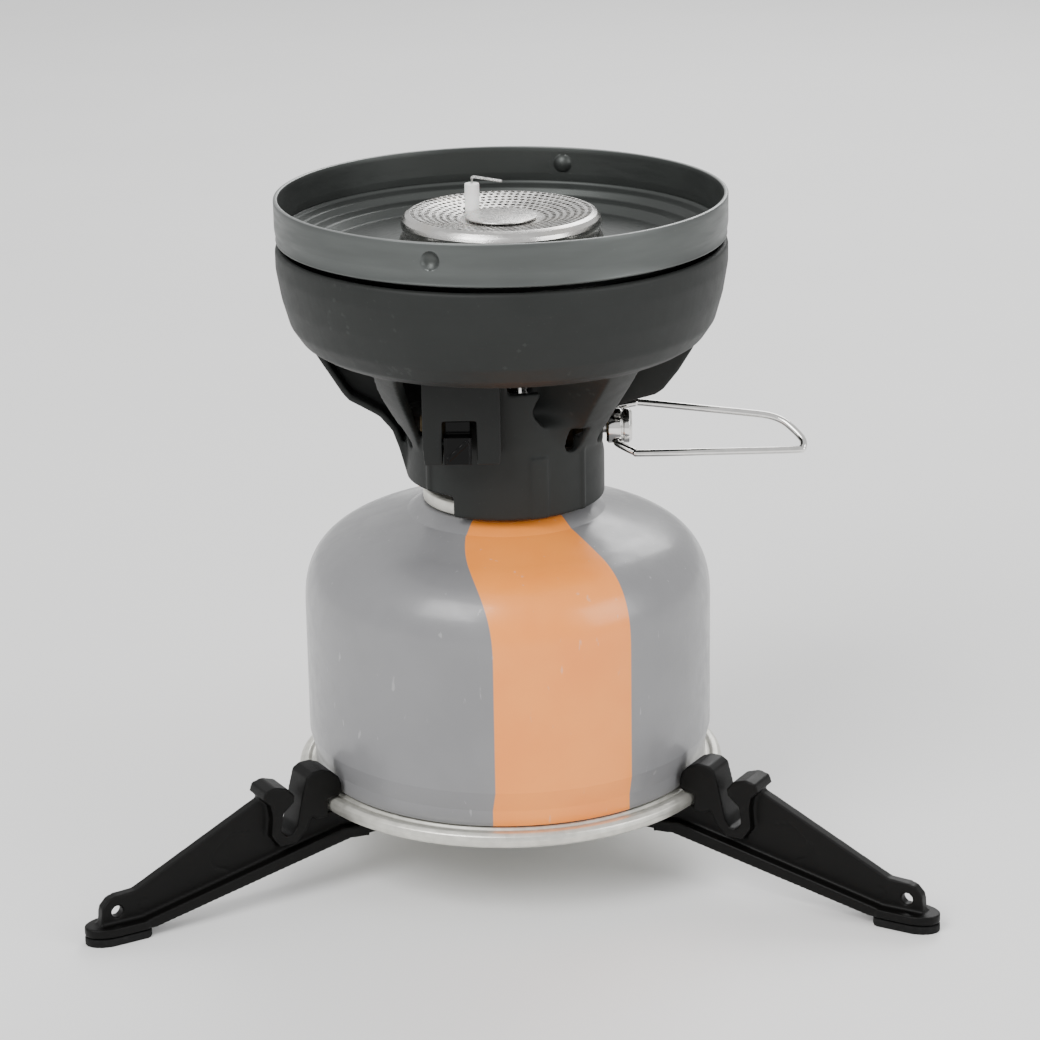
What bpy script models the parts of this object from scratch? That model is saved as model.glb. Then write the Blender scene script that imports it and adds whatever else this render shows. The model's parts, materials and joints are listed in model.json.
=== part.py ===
"""A compact camping stove: a regulated burner on a small fuel canister, in a folding three-leg stand.

Every dimension is in millimetres and becomes metres through MM. Heights are above the surface that the feet
stand on. The stove is modelled about the canister's axis, which an empty carries, so that the origin of the
whole object is the middle of its footprint.
"""

import math

import bmesh
import bpy
from mathutils import Vector

MM = 0.001
GAP = 0.3  # between pieces that touch on the real stove
WIDE_STEPS = 48  # facets around the cup, housing and canister
MEDIUM_STEPS = 24
SMALL_STEPS = 16

# Stand
RIM_Z = 19.1  # middle of the canister's bottom seam
RIM_R = 45.0
FOOT_R = 98.9  # reach of a leg
FOOT_HALF_WIDTH = 3.7
FOOT_INNER_R = 84.8
PAD_TOP = 1.65
FOOT_TOP = 3.75
WEB = 2.4  # thickness of a leg's upright web
FLANGE = 7.0  # width of a leg's flanges, hook and rest
LEG_AZIMUTHS = {"rear": 90, "left": 210, "right": 330}
RING_BOTTOMS = {"right": 10.6, "left": 12.5, "rear": 14.4}
RING_HEIGHT = 1.6
RING_R = 9.0
RIVET_R = 2.4

# Canister
CAN_R = 42.4
CAN_NECK_IN_R = 41.4
CAN_WALL = 0.8
SHOULDER_Z = 54.9
SHOULDER_RISE = 18.9
SHOULDER_CORE_R = 15.1
SHOULDER_POWER = 0.712  # flattens the quarter ellipse of the shoulder
SHOULDER_END = 65.0  # degrees of that ellipse, where the crown takes over
CROWN_STEP = (20.6, 75.4)
CROWN_TOP = (17.6, 77.6)
NECK_OPENING_R = 16.2
COLLAR_R = 17.2
COLLAR_TOP = 80.9
THREAD_R = 5.4
THREAD_TOP = 84.6

# Burner
SKIRT_LOW = 78.7
SKIRT_HIGH = 83.1
NECK_R = 20.5
NECK_INNER_R = 18.8
NECK_TOP = 94.5
FRONT_WALL_TOP = 105.1
FLARE_FOOT = (19.9, 88.5)  # radius and height where the struts leave the neck
FLARE_CROWN = (38.8, 112.1)  # and where they meet the bowl
BOWL_BOTTOM = 110.8
HOUSING_TOP = 132.3
CUP_R = 45.9
CUP_TOP = 142.0
CUP_FLOOR = 130.2
CUP_SHEET = 0.9
POST_R = 30.0  # circle of the three cup screws
HEAD_R = 20.9
HEAD_TOP = 138.1
SPIDER_AZIMUTHS = (82, 211, 315)
SPIDER_ARM = 2.0  # half the width of an arm
DIMPLE_AZIMUTHS = (73, 253)
DIMPLE_Z = 138.5
ELECTRODE = (-5.9, 7.6)

# Valve and wire handle
VALVE_Z = 92.5
HOLE_X = 23.05  # cross hole of the boss, which is the wire handle's hinge
BOSS = (20.9, 26.2)
BOSS_R = 3.65
WIRE_R = 0.75

# Igniter
COVER_FRONT = -27.0
COVER_BOTTOM = 92.7
COVER_TOP = 110.2
BUTTON_X = (-12.0, -6.5)
BUTTON_Z = (93.0, 98.6)
SLOT_TOP = 101.7
SHUTTER_TOP = 101.3  # of the button's own shutter, which closes the slot above it
SPRING_CENTRE = (-9.25, -22.7)

FOOTPRINT_FRONT = FOOT_R * 0.5 + FOOT_HALF_WIDTH * 0.4
AXIS_Y = -(FOOT_R - FOOTPRINT_FRONT) / 2


def clear_scene():
    for obj in list(bpy.data.objects):
        bpy.data.objects.remove(obj, do_unlink=True)


def make_material(name, color, roughness, metallic):
    material = bpy.data.materials.new(name)
    material.use_nodes = True
    shader = material.node_tree.nodes["Principled BSDF"]
    shader.inputs["Base Color"].default_value = (*color, 1.0)
    shader.inputs["Roughness"].default_value = roughness
    shader.inputs["Metallic"].default_value = metallic
    material.diffuse_color = (*color, 1.0)
    return material


def make_axis():
    axis = bpy.data.objects.new("stove_axis", None)
    axis.location = (0.0, AXIS_Y * MM, 0.0)
    bpy.context.scene.collection.objects.link(axis)
    return axis


# ---------------------------------------------------------------- mesh tools


def add_object(name, mesh, look, origin=(0.0, 0.0, 0.0), turn=0.0):
    """Link a mesh under the stove's axis. A string looks up the piece's material, and None makes a cutter."""
    obj = bpy.data.objects.new(name, mesh)
    bpy.context.scene.collection.objects.link(obj)
    obj.parent = AXIS
    obj.location = Vector(origin) * MM
    obj.rotation_euler.z = math.radians(turn)
    if look is None:
        obj.hide_render = True
        obj.display_type = "WIRE"
    else:
        mesh.materials.append(LOOKS[look])
    return obj


def finish_mesh(bm):
    bmesh.ops.recalc_face_normals(bm, faces=bm.faces)
    mesh = bpy.data.meshes.new("mesh")
    bm.to_mesh(mesh)
    bm.free()
    mesh.shade_smooth()
    mesh.set_sharp_from_angle(angle=math.radians(35))
    return mesh


def turned(profile, steps=MEDIUM_STEPS, along="Z"):
    """Spin a closed outline of (radius, height) about the Z axis, or about the valve's axis."""
    bm = bmesh.new()
    verts = [bm.verts.new((r * MM, 0.0, z * MM)) for r, z in profile]
    edges = []
    for i, (r, _) in enumerate(profile):
        follower = (i + 1) % len(profile)
        if r > 0 or profile[follower][0] > 0:
            edges.append(bm.edges.new((verts[i], verts[follower])))
    bmesh.ops.spin(
        bm,
        geom=verts + edges,
        cent=(0, 0, 0),
        axis=(0, 0, 1),
        angle=math.tau,
        steps=steps,
        use_merge=True,
    )
    bmesh.ops.remove_doubles(bm, verts=bm.verts, dist=1e-7)
    if along == "X":
        for vert in bm.verts:
            x, y, z = vert.co
            vert.co = (z, y, -x + VALVE_Z * MM)
    return finish_mesh(bm)


def prism(outline, low, high, plane="XY"):
    """Extrude an outline. In plane XZ the outline is (x, z) and the extrusion runs along Y."""
    bm = bmesh.new()
    verts = []
    for u, v in outline:
        place = (u, v, low) if plane == "XY" else (u, low, v)
        verts.append(bm.verts.new(Vector(place) * MM))
    face = bm.faces.new(verts)
    grown = bmesh.ops.extrude_face_region(bm, geom=[face])["geom"]
    shift = Vector((0, 0, high - low)) if plane == "XY" else Vector((0, high - low, 0))
    moved = [item for item in grown if isinstance(item, bmesh.types.BMVert)]
    bmesh.ops.translate(bm, verts=moved, vec=shift * MM)
    return finish_mesh(bm)


def block(x, y, z):
    return prism([(x[0], y[0]), (x[1], y[0]), (x[1], y[1]), (x[0], y[1])], z[0], z[1])


def rod(start, end, radius, steps=SMALL_STEPS):
    """A plain cylinder between two points."""
    start = Vector(start) * MM
    end = Vector(end) * MM
    bm = bmesh.new()
    made = bmesh.ops.create_cone(
        bm,
        cap_ends=True,
        segments=steps,
        radius1=radius * MM,
        radius2=radius * MM,
        depth=(end - start).length,
    )
    spin = Vector((0, 0, 1)).rotation_difference(end - start)
    for vert in made["verts"]:
        vert.co = spin @ vert.co + (start + end) / 2
    return finish_mesh(bm)


def ring_sector(inner, outer, low, high, first, last, steps=12):
    """A piece of a tube between two azimuths, in degrees."""
    angles = [math.radians(first + (last - first) * i / steps) for i in range(steps + 1)]
    outline = [(outer * math.cos(a), outer * math.sin(a)) for a in angles]
    outline += [(inner * math.cos(a), inner * math.sin(a)) for a in reversed(angles)]
    return prism(outline, low, high)


def ring(inner, outer, low, high):
    return [(outer, low), (outer, high), (inner, high), (inner, low)]


def combine(target, operation, *meshes, origin=(0.0, 0.0, 0.0), turn=0.0):
    """Give the target one Boolean for each mesh, which becomes a hidden helper object.

    The exact solver leaves the housing open where its posts meet the bowl: it uses the manifold solver.
    """
    for mesh in meshes:
        helper = add_object(f"{target.name}_helper", mesh, None, origin, turn)
        boolean = target.modifiers.new(operation.lower(), "BOOLEAN")
        boolean.operation = operation
        boolean.solver = "MANIFOLD" if target.name == "burner_housing" else "EXACT"
        boolean.object = helper
    return target


def wire(name, points, radius, look, origin=(0.0, 0.0, 0.0), resolution=2):
    """A round wire along points, which are measured from the origin."""
    curve = bpy.data.curves.new(name, "CURVE")
    curve.dimensions = "3D"
    curve.bevel_depth = radius * MM
    curve.bevel_resolution = resolution
    curve.use_fill_caps = True
    spline = curve.splines.new("POLY")
    spline.points.add(len(points) - 1)
    for point, place in zip(spline.points, points):
        point.co = (*(Vector(place) - Vector(origin)) * MM, 1.0)
    return add_object(name, curve, look, origin)


def smooth_route(points, per_span=5):
    """Points on a Catmull-Rom curve through the given ones."""
    places = [Vector(p) for p in points]
    ends = [places[0] * 2 - places[1], *places, places[-1] * 2 - places[-2]]
    route = []
    for a, b, c, d in zip(ends, ends[1:], ends[2:], ends[3:]):
        for i in range(per_span):
            t = i / per_span
            square = a * 2 - b * 5 + c * 4 - d
            cube = b * 3 - a - c * 3 + d
            route.append((b * 2 + (c - a) * t + square * t**2 + cube * t**3) / 2)
    return [*route, places[-1]]


def coil(centre, radius, low, high, turns, per_turn=12):
    """Points along a coil that rises about a vertical axis."""
    count = turns * per_turn
    return [
        Vector(
            (
                centre[0] + radius * math.cos(math.tau * i / per_turn),
                centre[1] + radius * math.sin(math.tau * i / per_turn),
                low + (high - low) * i / count,
            )
        )
        for i in range(count + 1)
    ]


# ---------------------------------------------------------------- stand


def foot_outline(inner, outer, half_width, corner_steps=8):
    """A foot seen from above: a round toe and a shallow round heel."""
    toe = outer - half_width * 1.5
    heel = inner + half_width * 0.6
    outline = []
    for i in range(corner_steps + 1):
        a = math.radians(-90 + 180 * i / corner_steps)
        outline.append((toe + half_width * 1.5 * math.cos(a), half_width * math.sin(a)))
    for i in range(corner_steps // 2 + 1):
        a = math.radians(90 + 180 * i / (corner_steps // 2))
        outline.append((heel + half_width * 0.6 * math.cos(a), half_width * math.sin(a)))
    return outline


def leg_web():
    """Side view of a leg's web, from the hub arm along the top edge to the tip and back under."""
    return [
        (13.0, 10.6),
        (40.0, 10.8),
        (84.5, 2.2),
        (97.5, 2.2),
        (95.9, 3.6),
        (95.4, 7.4),
        (93.9, 9.1),
        (92.2, 9.6),
        (88.0, 9.8),
        (59.2, 23.4),
        (58.0, 23.6),
        (57.2, 16.0),
        (55.6, 13.6),
        (52.4, 14.2),
        (50.4, 17.0),
        (49.0, 23.0),
        (47.0, 25.0),
        (45.9, 25.0),
        (45.4, 17.0),
        (38.0, 17.0),
        (33.5, 12.9),
        (13.0, 12.9),
    ]


def leg_flange():
    """Side view of the flange along a leg's lower edge."""
    under = [(36.0, 10.6), (40.4, 11.0), (84.6, 1.95), (88.0, 1.95)]
    return [*under, (88.0, 3.6), (86.2, 4.0), (41.6, 13.6), (36.0, 13.0)]


def leg_hook():
    """Side view of the broad band that is the canister hook, the slot behind it and the rest outside it."""
    return [
        (45.4, 20.9),
        (43.0, 20.9),
        (42.1, 21.7),
        (42.0, 23.3),
        (42.7, 25.2),
        (44.3, 26.8),
        (46.3, 27.6),
        (48.6, 27.5),
        (50.0, 26.6),
        (51.2, 22.2),
        (52.5, 16.4),
        (53.6, 14.9),
        (55.1, 14.8),
        (56.2, 16.2),
        (55.6, 19.8),
        (53.1, 21.9),
        (52.9, 23.3),
        (54.4, 25.1),
        (57.2, 26.0),
        (59.4, 25.4),
        (60.0, 23.8),
        (58.4, 22.2),
        (58.0, 19.6),
        (58.4, 15.4),
        (56.6, 12.8),
        (52.8, 12.8),
        (50.4, 15.2),
        (49.2, 18.0),
        (48.0, 17.0),
        (45.4, 17.0),
    ]


def make_leg(side):
    turn = LEG_AZIMUTHS[side]
    leg = add_object(f"leg_{side}", prism(leg_web(), -WEB / 2, WEB / 2, "XZ"), "nylon", turn=turn)
    bottom = RING_BOTTOMS[side]
    arm_low = min(bottom, 10.6)
    arm_high = max(bottom + RING_HEIGHT, 12.9)
    hub = turned(ring(RIVET_R + GAP, RING_R, bottom, bottom + RING_HEIGHT), 24)
    combine(
        leg,
        "UNION",
        prism(leg_flange(), -FLANGE / 2, FLANGE / 2, "XZ"),
        prism(leg_hook(), -FLANGE / 2, FLANGE / 2, "XZ"),
        prism(foot_outline(FOOT_INNER_R, FOOT_R, FOOT_HALF_WIDTH), PAD_TOP + GAP, FOOT_TOP),
        block((11.0, 37.0), (-2.4, 2.4), (10.6, 12.9)),
        block((RING_R + GAP, 13.5), (-2.4, 2.4), (arm_low, arm_high)),
        block((RING_R - 1.0, RING_R + 1.0), (-2.4, 2.4), (bottom, bottom + RING_HEIGHT)),
        hub,
        turn=turn,
    )
    combine(leg, "DIFFERENCE", rod((92.2, -3, 6.2), (92.2, 3, 6.2), 1.15, 16), turn=turn)
    pad = prism(foot_outline(FOOT_INNER_R + 0.2, FOOT_R, FOOT_HALF_WIDTH), 0.0, PAD_TOP)
    add_object(f"foot_pad_{side}", pad, "rubber", turn=turn)


def make_hub():
    low = RING_BOTTOMS["right"]
    high = RING_BOTTOMS["rear"] + RING_HEIGHT
    washer = (high + GAP, high + GAP + 0.6)
    head = washer[1] + GAP
    rivet = [
        (0.0, low - 1.8),
        (3.2, low - 1.8),
        (4.5, low - 1.1),
        (4.5, low - GAP),
        (RIVET_R, low - GAP),
        (RIVET_R, head),
        (4.5, head),
        (4.5, head + 0.7),
        (3.2, head + 1.2),
        (0.0, head + 1.2),
    ]
    add_object("hub_rivet", turned(rivet, SMALL_STEPS), "steel")
    add_object("hub_washer", turned(ring(RIVET_R + GAP, 5.5, *washer), SMALL_STEPS), "steel")


# ---------------------------------------------------------------- canister


def shoulder(offset, steps):
    """The canister's shoulder from its straight side in to the crown, at a distance inside the surface."""
    points = []
    for i in range(steps + 1):
        t = math.radians(SHOULDER_END) * i / steps
        r = SHOULDER_CORE_R + (CAN_R - SHOULDER_CORE_R) * math.cos(t) ** SHOULDER_POWER
        z = SHOULDER_Z + SHOULDER_RISE * math.sin(t) ** SHOULDER_POWER
        lean = math.atan2(z - SHOULDER_Z, r - SHOULDER_CORE_R)
        points.append((r - offset * math.cos(lean), z - offset * math.sin(lean)))
    return points


def make_canister():
    low = RIM_Z + 1.8
    top = CROWN_TOP[1]
    outer = [(CAN_NECK_IN_R, low), (CAN_NECK_IN_R, low + 3.4), (CAN_R, low + 7.6), *shoulder(0.0, 7)]
    outer += [CROWN_STEP, CROWN_TOP, (NECK_OPENING_R, top)]
    inner = [
        (CAN_NECK_IN_R - CAN_WALL, low),
        (CAN_NECK_IN_R - CAN_WALL, low + 3.4),
        (CAN_R - CAN_WALL, low + 7.6),
        *shoulder(CAN_WALL, 4),
        (CROWN_STEP[0] - 0.4, CROWN_STEP[1] - CAN_WALL),
        (CROWN_TOP[0] - 0.3, top - CAN_WALL),
        (NECK_OPENING_R, top - CAN_WALL),
    ]
    add_object("canister_body", turned([*outer, *reversed(inner)], WIDE_STEPS), "paint")

    base = [
        (RIM_R, RIM_Z),
        (RIM_R - 0.6, RIM_Z + 1.3),
        (RIM_R - 1.6, RIM_Z + 1.5),
        (40.2, RIM_Z + 1.5),
        (40.0, 23.6),
        (25.0, 28.2),
        (0.0, 30.0),
        (0.0, 29.1),
        (25.0, 27.3),
        (39.2, 22.9),
        (39.4, RIM_Z - 1.2),
        (40.4, RIM_Z - 1.8),
        (RIM_R - 1.2, RIM_Z - 1.8),
    ]
    add_object("canister_base", turned(base, WIDE_STEPS), "tinplate")

    cup = [
        (COLLAR_R, CROWN_TOP[1] + 0.35),
        (COLLAR_R, COLLAR_TOP - 0.5),
        (COLLAR_R - 0.5, COLLAR_TOP),
        (14.6, COLLAR_TOP),
        (13.8, 73.8),
        (7.0, 73.8),
        (THREAD_R, 76.0),
        (THREAD_R, THREAD_TOP - 0.5),
        (THREAD_R - 0.5, THREAD_TOP),
        (2.3, THREAD_TOP),
        (2.3, 72.4),
        (15.4, 72.4),
        (NECK_OPENING_R - 0.4, CROWN_TOP[1] + 0.35),
    ]
    add_object("canister_valve_cup", turned(cup), "tinplate")
    housing = [(7.5, 57.5), (7.5, 72.1), (6.8, 72.1), (6.8, 71.0), (3.6, 71.0), (3.6, 60.2)]
    housing += [(1.0, 60.2), (1.0, 57.5)]
    add_object("canister_valve_housing", turned(housing, SMALL_STEPS), "white_plastic")
    add_object("canister_valve_gasket", turned(ring(2.35, 6.5, 71.3, 72.1), SMALL_STEPS), "rubber")
    stem = [(0.0, 67.6), (3.0, 67.6), (3.0, 69.0), (2.0, 69.0), (2.0, 81.2), (1.7, 81.5), (0.0, 81.5)]
    add_object("canister_valve_stem", turned(stem, SMALL_STEPS), "brass")
    wire("canister_valve_spring", coil((0, 0), 2.2, 60.9, 66.9, 4, 7), 0.3, "steel", resolution=0)


# ---------------------------------------------------------------- burner cup and head


def make_cup():
    """The sheet-metal cup: a band above the housing, two rounded steps and a flat floor with a round hole."""
    top_side = [
        (CUP_R - CUP_SHEET, 134.9),
        (44.4, 134.1),
        (42.6, 133.6),
        (41.6, 132.2),
        (39.0, 131.9),
        (37.4, CUP_FLOOR),
        (18.2, CUP_FLOOR),
    ]
    under_side = [
        (18.2, CUP_FLOOR - CUP_SHEET),
        (36.8, CUP_FLOOR - CUP_SHEET),
        (38.4, 131.0),
        (41.0, 131.3),
        (42.2, 132.8),
        (44.8, 133.2),
        (CUP_R, 133.6),
    ]
    rim = [(CUP_R, CUP_TOP), (CUP_R - CUP_SHEET, CUP_TOP)]
    cup = add_object("burner_cup", turned([*rim, *top_side, *under_side], WIDE_STEPS), "anodised")
    for azimuth in DIMPLE_AZIMUTHS:
        a = math.radians(azimuth)
        reach = CUP_R + 1.5
        start = (reach * math.cos(a), reach * math.sin(a), DIMPLE_Z)
        face = ((CUP_R - 0.05) * math.cos(a), (CUP_R - 0.05) * math.sin(a), DIMPLE_Z)
        combine(cup, "UNION", ball((CUP_R - 0.6) * math.cos(a), (CUP_R - 0.6) * math.sin(a), DIMPLE_Z, 1.75))
        combine(cup, "DIFFERENCE", rod(start, face, 3.0))
        combine(cup, "DIFFERENCE", ball(CUP_R * math.cos(a), CUP_R * math.sin(a), DIMPLE_Z, 1.35))
    for azimuth in LEG_AZIMUTHS.values():
        a = math.radians(azimuth)
        x = POST_R * math.cos(a)
        y = POST_R * math.sin(a)
        combine(cup, "DIFFERENCE", rod((x, y, 128), (x, y, 133), 1.3, 12))


def ball(x, y, z, radius):
    bm = bmesh.new()
    bmesh.ops.create_uvsphere(bm, u_segments=12, v_segments=8, radius=radius * MM)
    bmesh.ops.translate(bm, verts=bm.verts, vec=Vector((x, y, z)) * MM)
    return finish_mesh(bm)


def make_head():
    x, y = ELECTRODE
    cap = [
        (HEAD_R, 131.6),
        (HEAD_R - 0.3, 133.6),
        (19.9, 134.8),
        (20.2, 136.0),
        (18.8, HEAD_TOP),
        (8.2, 136.6),
        (0.0, 136.6),
        (0.0, 135.8),
        (8.2, 135.8),
        (18.4, 137.1),
        (19.3, 135.6),
        (19.3, 131.6),
    ]
    lid = add_object("burner_cap", turned(cap), "stainless")
    combine(lid, "DIFFERENCE", rod((x, y, 130), (x, y, 145), 1.9, 16))
    add_object("centre_disc", turned([(0, 136.9), (7.4, 136.9), (7.2, 137.4), (0, 137.4)], 32), "stainless")
    bowl = [
        (4.9, 124.0),
        (12.0, 125.2),
        (17.6, 130.5),
        (19.0, 130.8),
        (19.0, 135.2),
        (18.2, 135.2),
        (18.2, 131.9),
        (11.6, 126.6),
        (3.4, 125.6),
        (3.4, 124.0),
    ]
    pan = add_object("burner_bowl", turned(bowl), "stainless")
    combine(pan, "DIFFERENCE", rod((x, y, 120), (x, y, 140), 1.9, 16))
    ceramic = [(0.0, 119.5), (1.5, 119.5), (1.5, 141.9), (1.2, 142.2), (0.0, 142.2)]
    add_object("electrode_ceramic", turned(ceramic, 16), "ceramic", (x, y, 0))
    spark = [(0, 0, 142.5), (0, 0, 143.2), (0.3, -0.1, 143.55), (1.0, -0.5, 143.6), (6.2, -3.4, 143.3)]
    wire("electrode_wire", [(x + p, y + q, z) for p, q, z in spark], 0.3, "steel", resolution=0)
    tube = [
        (8.2, 101.1),
        (8.2, 111.6),
        (4.4, 115.0),
        (4.4, 123.7),
        (3.4, 123.7),
        (3.4, 114.6),
        (7.0, 111.2),
        (7.0, 101.1),
    ]
    mixing = add_object("mixing_tube", turned(tube, 24), "chrome")
    for azimuth in (60, 150, 240, 330):
        a = math.radians(azimuth)
        x = math.cos(a)
        y = math.sin(a)
        combine(mixing, "DIFFERENCE", rod((4 * x, 4 * y, 104.2), (11 * x, 11 * y, 104.2), 2.2, 12))
    for number, azimuth in enumerate(LEG_AZIMUTHS.values(), 1):
        a = math.radians(azimuth)
        screw = [(0, 122.4), (0.85, 123.4), (0.85, 130.5), (2.3, 130.5), (1.9, 131.8), (0, 131.8)]
        place = (POST_R * math.cos(a), POST_R * math.sin(a), 0)
        add_object(f"cup_screw_{number}", turned(screw, 12), "steel", place)


# ---------------------------------------------------------------- housing


def flare(foot_range, crown_range, wall=2.4, across=4, up=5):
    """A strut that flares from the neck to the bowl, between azimuth ranges at its foot and at its crown."""
    bm = bmesh.new()
    grids = []
    rise = FLARE_CROWN[1] - FLARE_FOOT[1]
    spread = FLARE_CROWN[0] - FLARE_FOOT[0]
    for depth in (0.0, wall):
        rows = []
        for j in range(up + 1):
            s = j / up
            height = FLARE_FOOT[1] + rise * s
            reach = FLARE_FOOT[0] + spread * s**1.5 - depth * (0.35 + 0.65 * s)
            first = foot_range[0] + (crown_range[0] - foot_range[0]) * s
            last = foot_range[1] + (crown_range[1] - foot_range[1]) * s
            row = []
            for i in range(across + 1):
                a = math.radians(first + (last - first) * i / across)
                spot = Vector((reach * math.cos(a), reach * math.sin(a), height + depth * 0.75 * s))
                row.append(bm.verts.new(spot * MM))
            rows.append(row)
        grids.append(rows)
    close_sheet(bm, *grids)
    return finish_mesh(bm)


def right_fin():
    """Side view of the radial fin beside the boss, which leaves room for the wire handle to turn."""
    lower = [(19.7, 90.0), (20.7, 91.0), (21.0, 95.0), (22.6, 97.0), (24.2, 98.7), (28.7, 100.4)]
    lower += [(31.9, 101.4), (33.5, 102.6), (36.5, 106.5), (39.6, 111.6)]
    return [*lower, (39.6, 112.4), (25.0, 112.4), (22.0, 101.0), (19.7, 97.0)]


def left_duct():
    """Side views of the duct on the left: its lower wall, and the plate that closes it at the rear."""
    edge = [(19.7, 84.0), (20.6, 84.0), (21.9, 89.0), (23.3, 93.0), (25.8, 96.0), (28.7, 97.8), (31.9, 99.6)]
    edge += [(33.3, 101.3), (36.5, 106.5), (39.6, 111.6), (39.6, 112.4)]
    inside = [(19.7, 86.0), (20.6, 89.3), (22.1, 93.6), (25.0, 97.1), (28.1, 99.0), (31.1, 100.7)]
    inside += [(32.3, 102.1), (35.4, 107.1), (38.2, 112.4)]
    middle = [(19.7, 85.0), (21.2, 89.1), (22.7, 93.3), (25.4, 96.6), (28.4, 98.4), (31.5, 100.1)]
    middle += [(32.8, 101.7), (35.9, 106.8), (38.8, 112.2)]
    return [*edge, *reversed(inside)], [*middle, (25.0, 112.2), (22.0, 99.0), (19.7, 94.0)]


def close_sheet(bm, outer, inner):
    """Faces over two grids of points and around their edge."""
    up = len(outer) - 1
    across = len(outer[0]) - 1
    for rows in (outer, inner):
        for low, high in zip(rows, rows[1:]):
            for i in range(across):
                bm.faces.new((low[i], low[i + 1], high[i + 1], high[i]))
    for j in range(up):
        for i in (0, across):
            bm.faces.new((outer[j][i], outer[j + 1][i], inner[j + 1][i], inner[j][i]))
    for j in (0, up):
        for i in range(across):
            bm.faces.new((outer[j][i], outer[j][i + 1], inner[j][i + 1], inner[j][i]))


def make_housing():
    outer = [
        (CUP_R, HOUSING_TOP),
        (45.9, 128.0),
        (44.9, 122.0),
        (43.4, 116.6),
        (41.2, 113.3),
        (38.4, 111.6),
        (26.0, BOWL_BOTTOM),
    ]
    inner = [(26.0, 112.6), (37.6, 113.2), (41.8, 117.6), (43.6, 125.0), (44.2, HOUSING_TOP)]
    housing = add_object("burner_housing", turned([*outer, *inner], WIDE_STEPS), "plastic")
    combine(housing, "UNION", turned(ring(NECK_INNER_R, NECK_R, SKIRT_LOW, NECK_TOP), WIDE_STEPS))
    combine(housing, "UNION", ring_sector(NECK_INNER_R, NECK_R - 0.05, 90.0, FRONT_WALL_TOP, 238, 300))
    combine(
        housing,
        "UNION",
        flare((187, 209), (229, 237)),
        flare((284, 344), (291, 314), across=6),
        flare((26, 50), (26, 50)),
        flare((70, 172), (70, 172), across=12),
    )
    wall, plate = left_duct()
    combine(housing, "UNION", prism(wall, -5.0, 1.4, "XZ"), prism(plate, -4.7, -3.6, "XZ"), turn=184)
    combine(housing, "UNION", prism(right_fin(), -1.2, 1.2, "XZ"), turn=346)
    combine(housing, "UNION", ring_sector(NECK_INNER_R, NECK_R - 0.05, 104.0, BOWL_BOTTOM + 1.0, 262, 272, 3))
    combine(housing, "UNION", make_spider())
    post_top = CUP_FLOOR - CUP_SHEET - GAP
    post = [(0, 111.8), (2.8, 111.8), (2.8, post_top), (1.15, post_top), (1.15, 120.5), (0, 120.5)]
    for azimuth in LEG_AZIMUTHS.values():
        a = math.radians(azimuth)
        x = POST_R * math.cos(a)
        y = POST_R * math.sin(a)
        combine(housing, "UNION", turned(post, 12), origin=(x, y, 0), turn=11)
    cut_housing(housing)


def make_spider():
    """A ring on three arms inside the neck, which the valve body hangs from. Its arms end in the struts."""
    inner = 6.5
    outer = 10.5
    tip = 25.4
    outline = []
    for azimuth in SPIDER_AZIMUTHS:
        a = math.radians(azimuth)
        spread = math.asin(SPIDER_ARM / outer)
        along = Vector((math.cos(a), math.sin(a)))
        side = Vector((-math.sin(a), math.cos(a))) * SPIDER_ARM
        outline += [along * tip - side, along * tip + side]
        following = SPIDER_AZIMUTHS[(SPIDER_AZIMUTHS.index(azimuth) + 1) % 3]
        start = a + spread
        end = math.radians(following) - spread
        if end < start:
            end += math.tau
        for i in range(6):
            b = start + (end - start) * i / 5
            outline.append(Vector((math.cos(b), math.sin(b))) * outer)
    bm = bmesh.new()
    turns = [math.tau * i / SMALL_STEPS for i in range(SMALL_STEPS)]
    hole = [Vector((math.cos(a), math.sin(a))) * inner for a in turns]
    loops = []
    for points in (outline, hole):
        verts = [bm.verts.new((x * MM, y * MM, 98.8 * MM)) for x, y in points]
        loops += [bm.edges.new((verts[i - 1], verts[i])) for i in range(len(verts))]
    bmesh.ops.triangle_fill(bm, use_beauty=True, edges=loops)
    grown = bmesh.ops.extrude_face_region(bm, geom=bm.faces[:])["geom"]
    moved = [item for item in grown if isinstance(item, bmesh.types.BMVert)]
    bmesh.ops.translate(bm, verts=moved, vec=(0, 0, 2.0 * MM))
    return finish_mesh(bm)


def slot_outline(half_width, low, height):
    """A slot with a round lower end, as (x, z)."""
    outline = [(half_width, low + height), (-half_width, low + height)]
    for i in range(7):
        a = math.pi + math.pi * i / 6
        outline.append((half_width * math.cos(a), low + half_width + half_width * math.sin(a)))
    return outline


def cut_housing(housing):
    """The raised part of the skirt, the round-ended vent slots and the hole for the valve."""
    combine(housing, "DIFFERENCE", ring_sector(15, 24, 70, SKIRT_HIGH, 58, 238.5, 16))
    for azimuth in (311.5, 338.0, 199.0, 60.0):
        low = 91.6 if azimuth > 300 else 90.6
        combine(housing, "DIFFERENCE", prism(slot_outline(1.8, low, 5.6), 16, 26, "XZ"), turn=azimuth - 90)
    combine(housing, "DIFFERENCE", rod((14, 0, VALVE_Z), (30, 0, VALVE_Z), 4.6))


# ---------------------------------------------------------------- igniter


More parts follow.
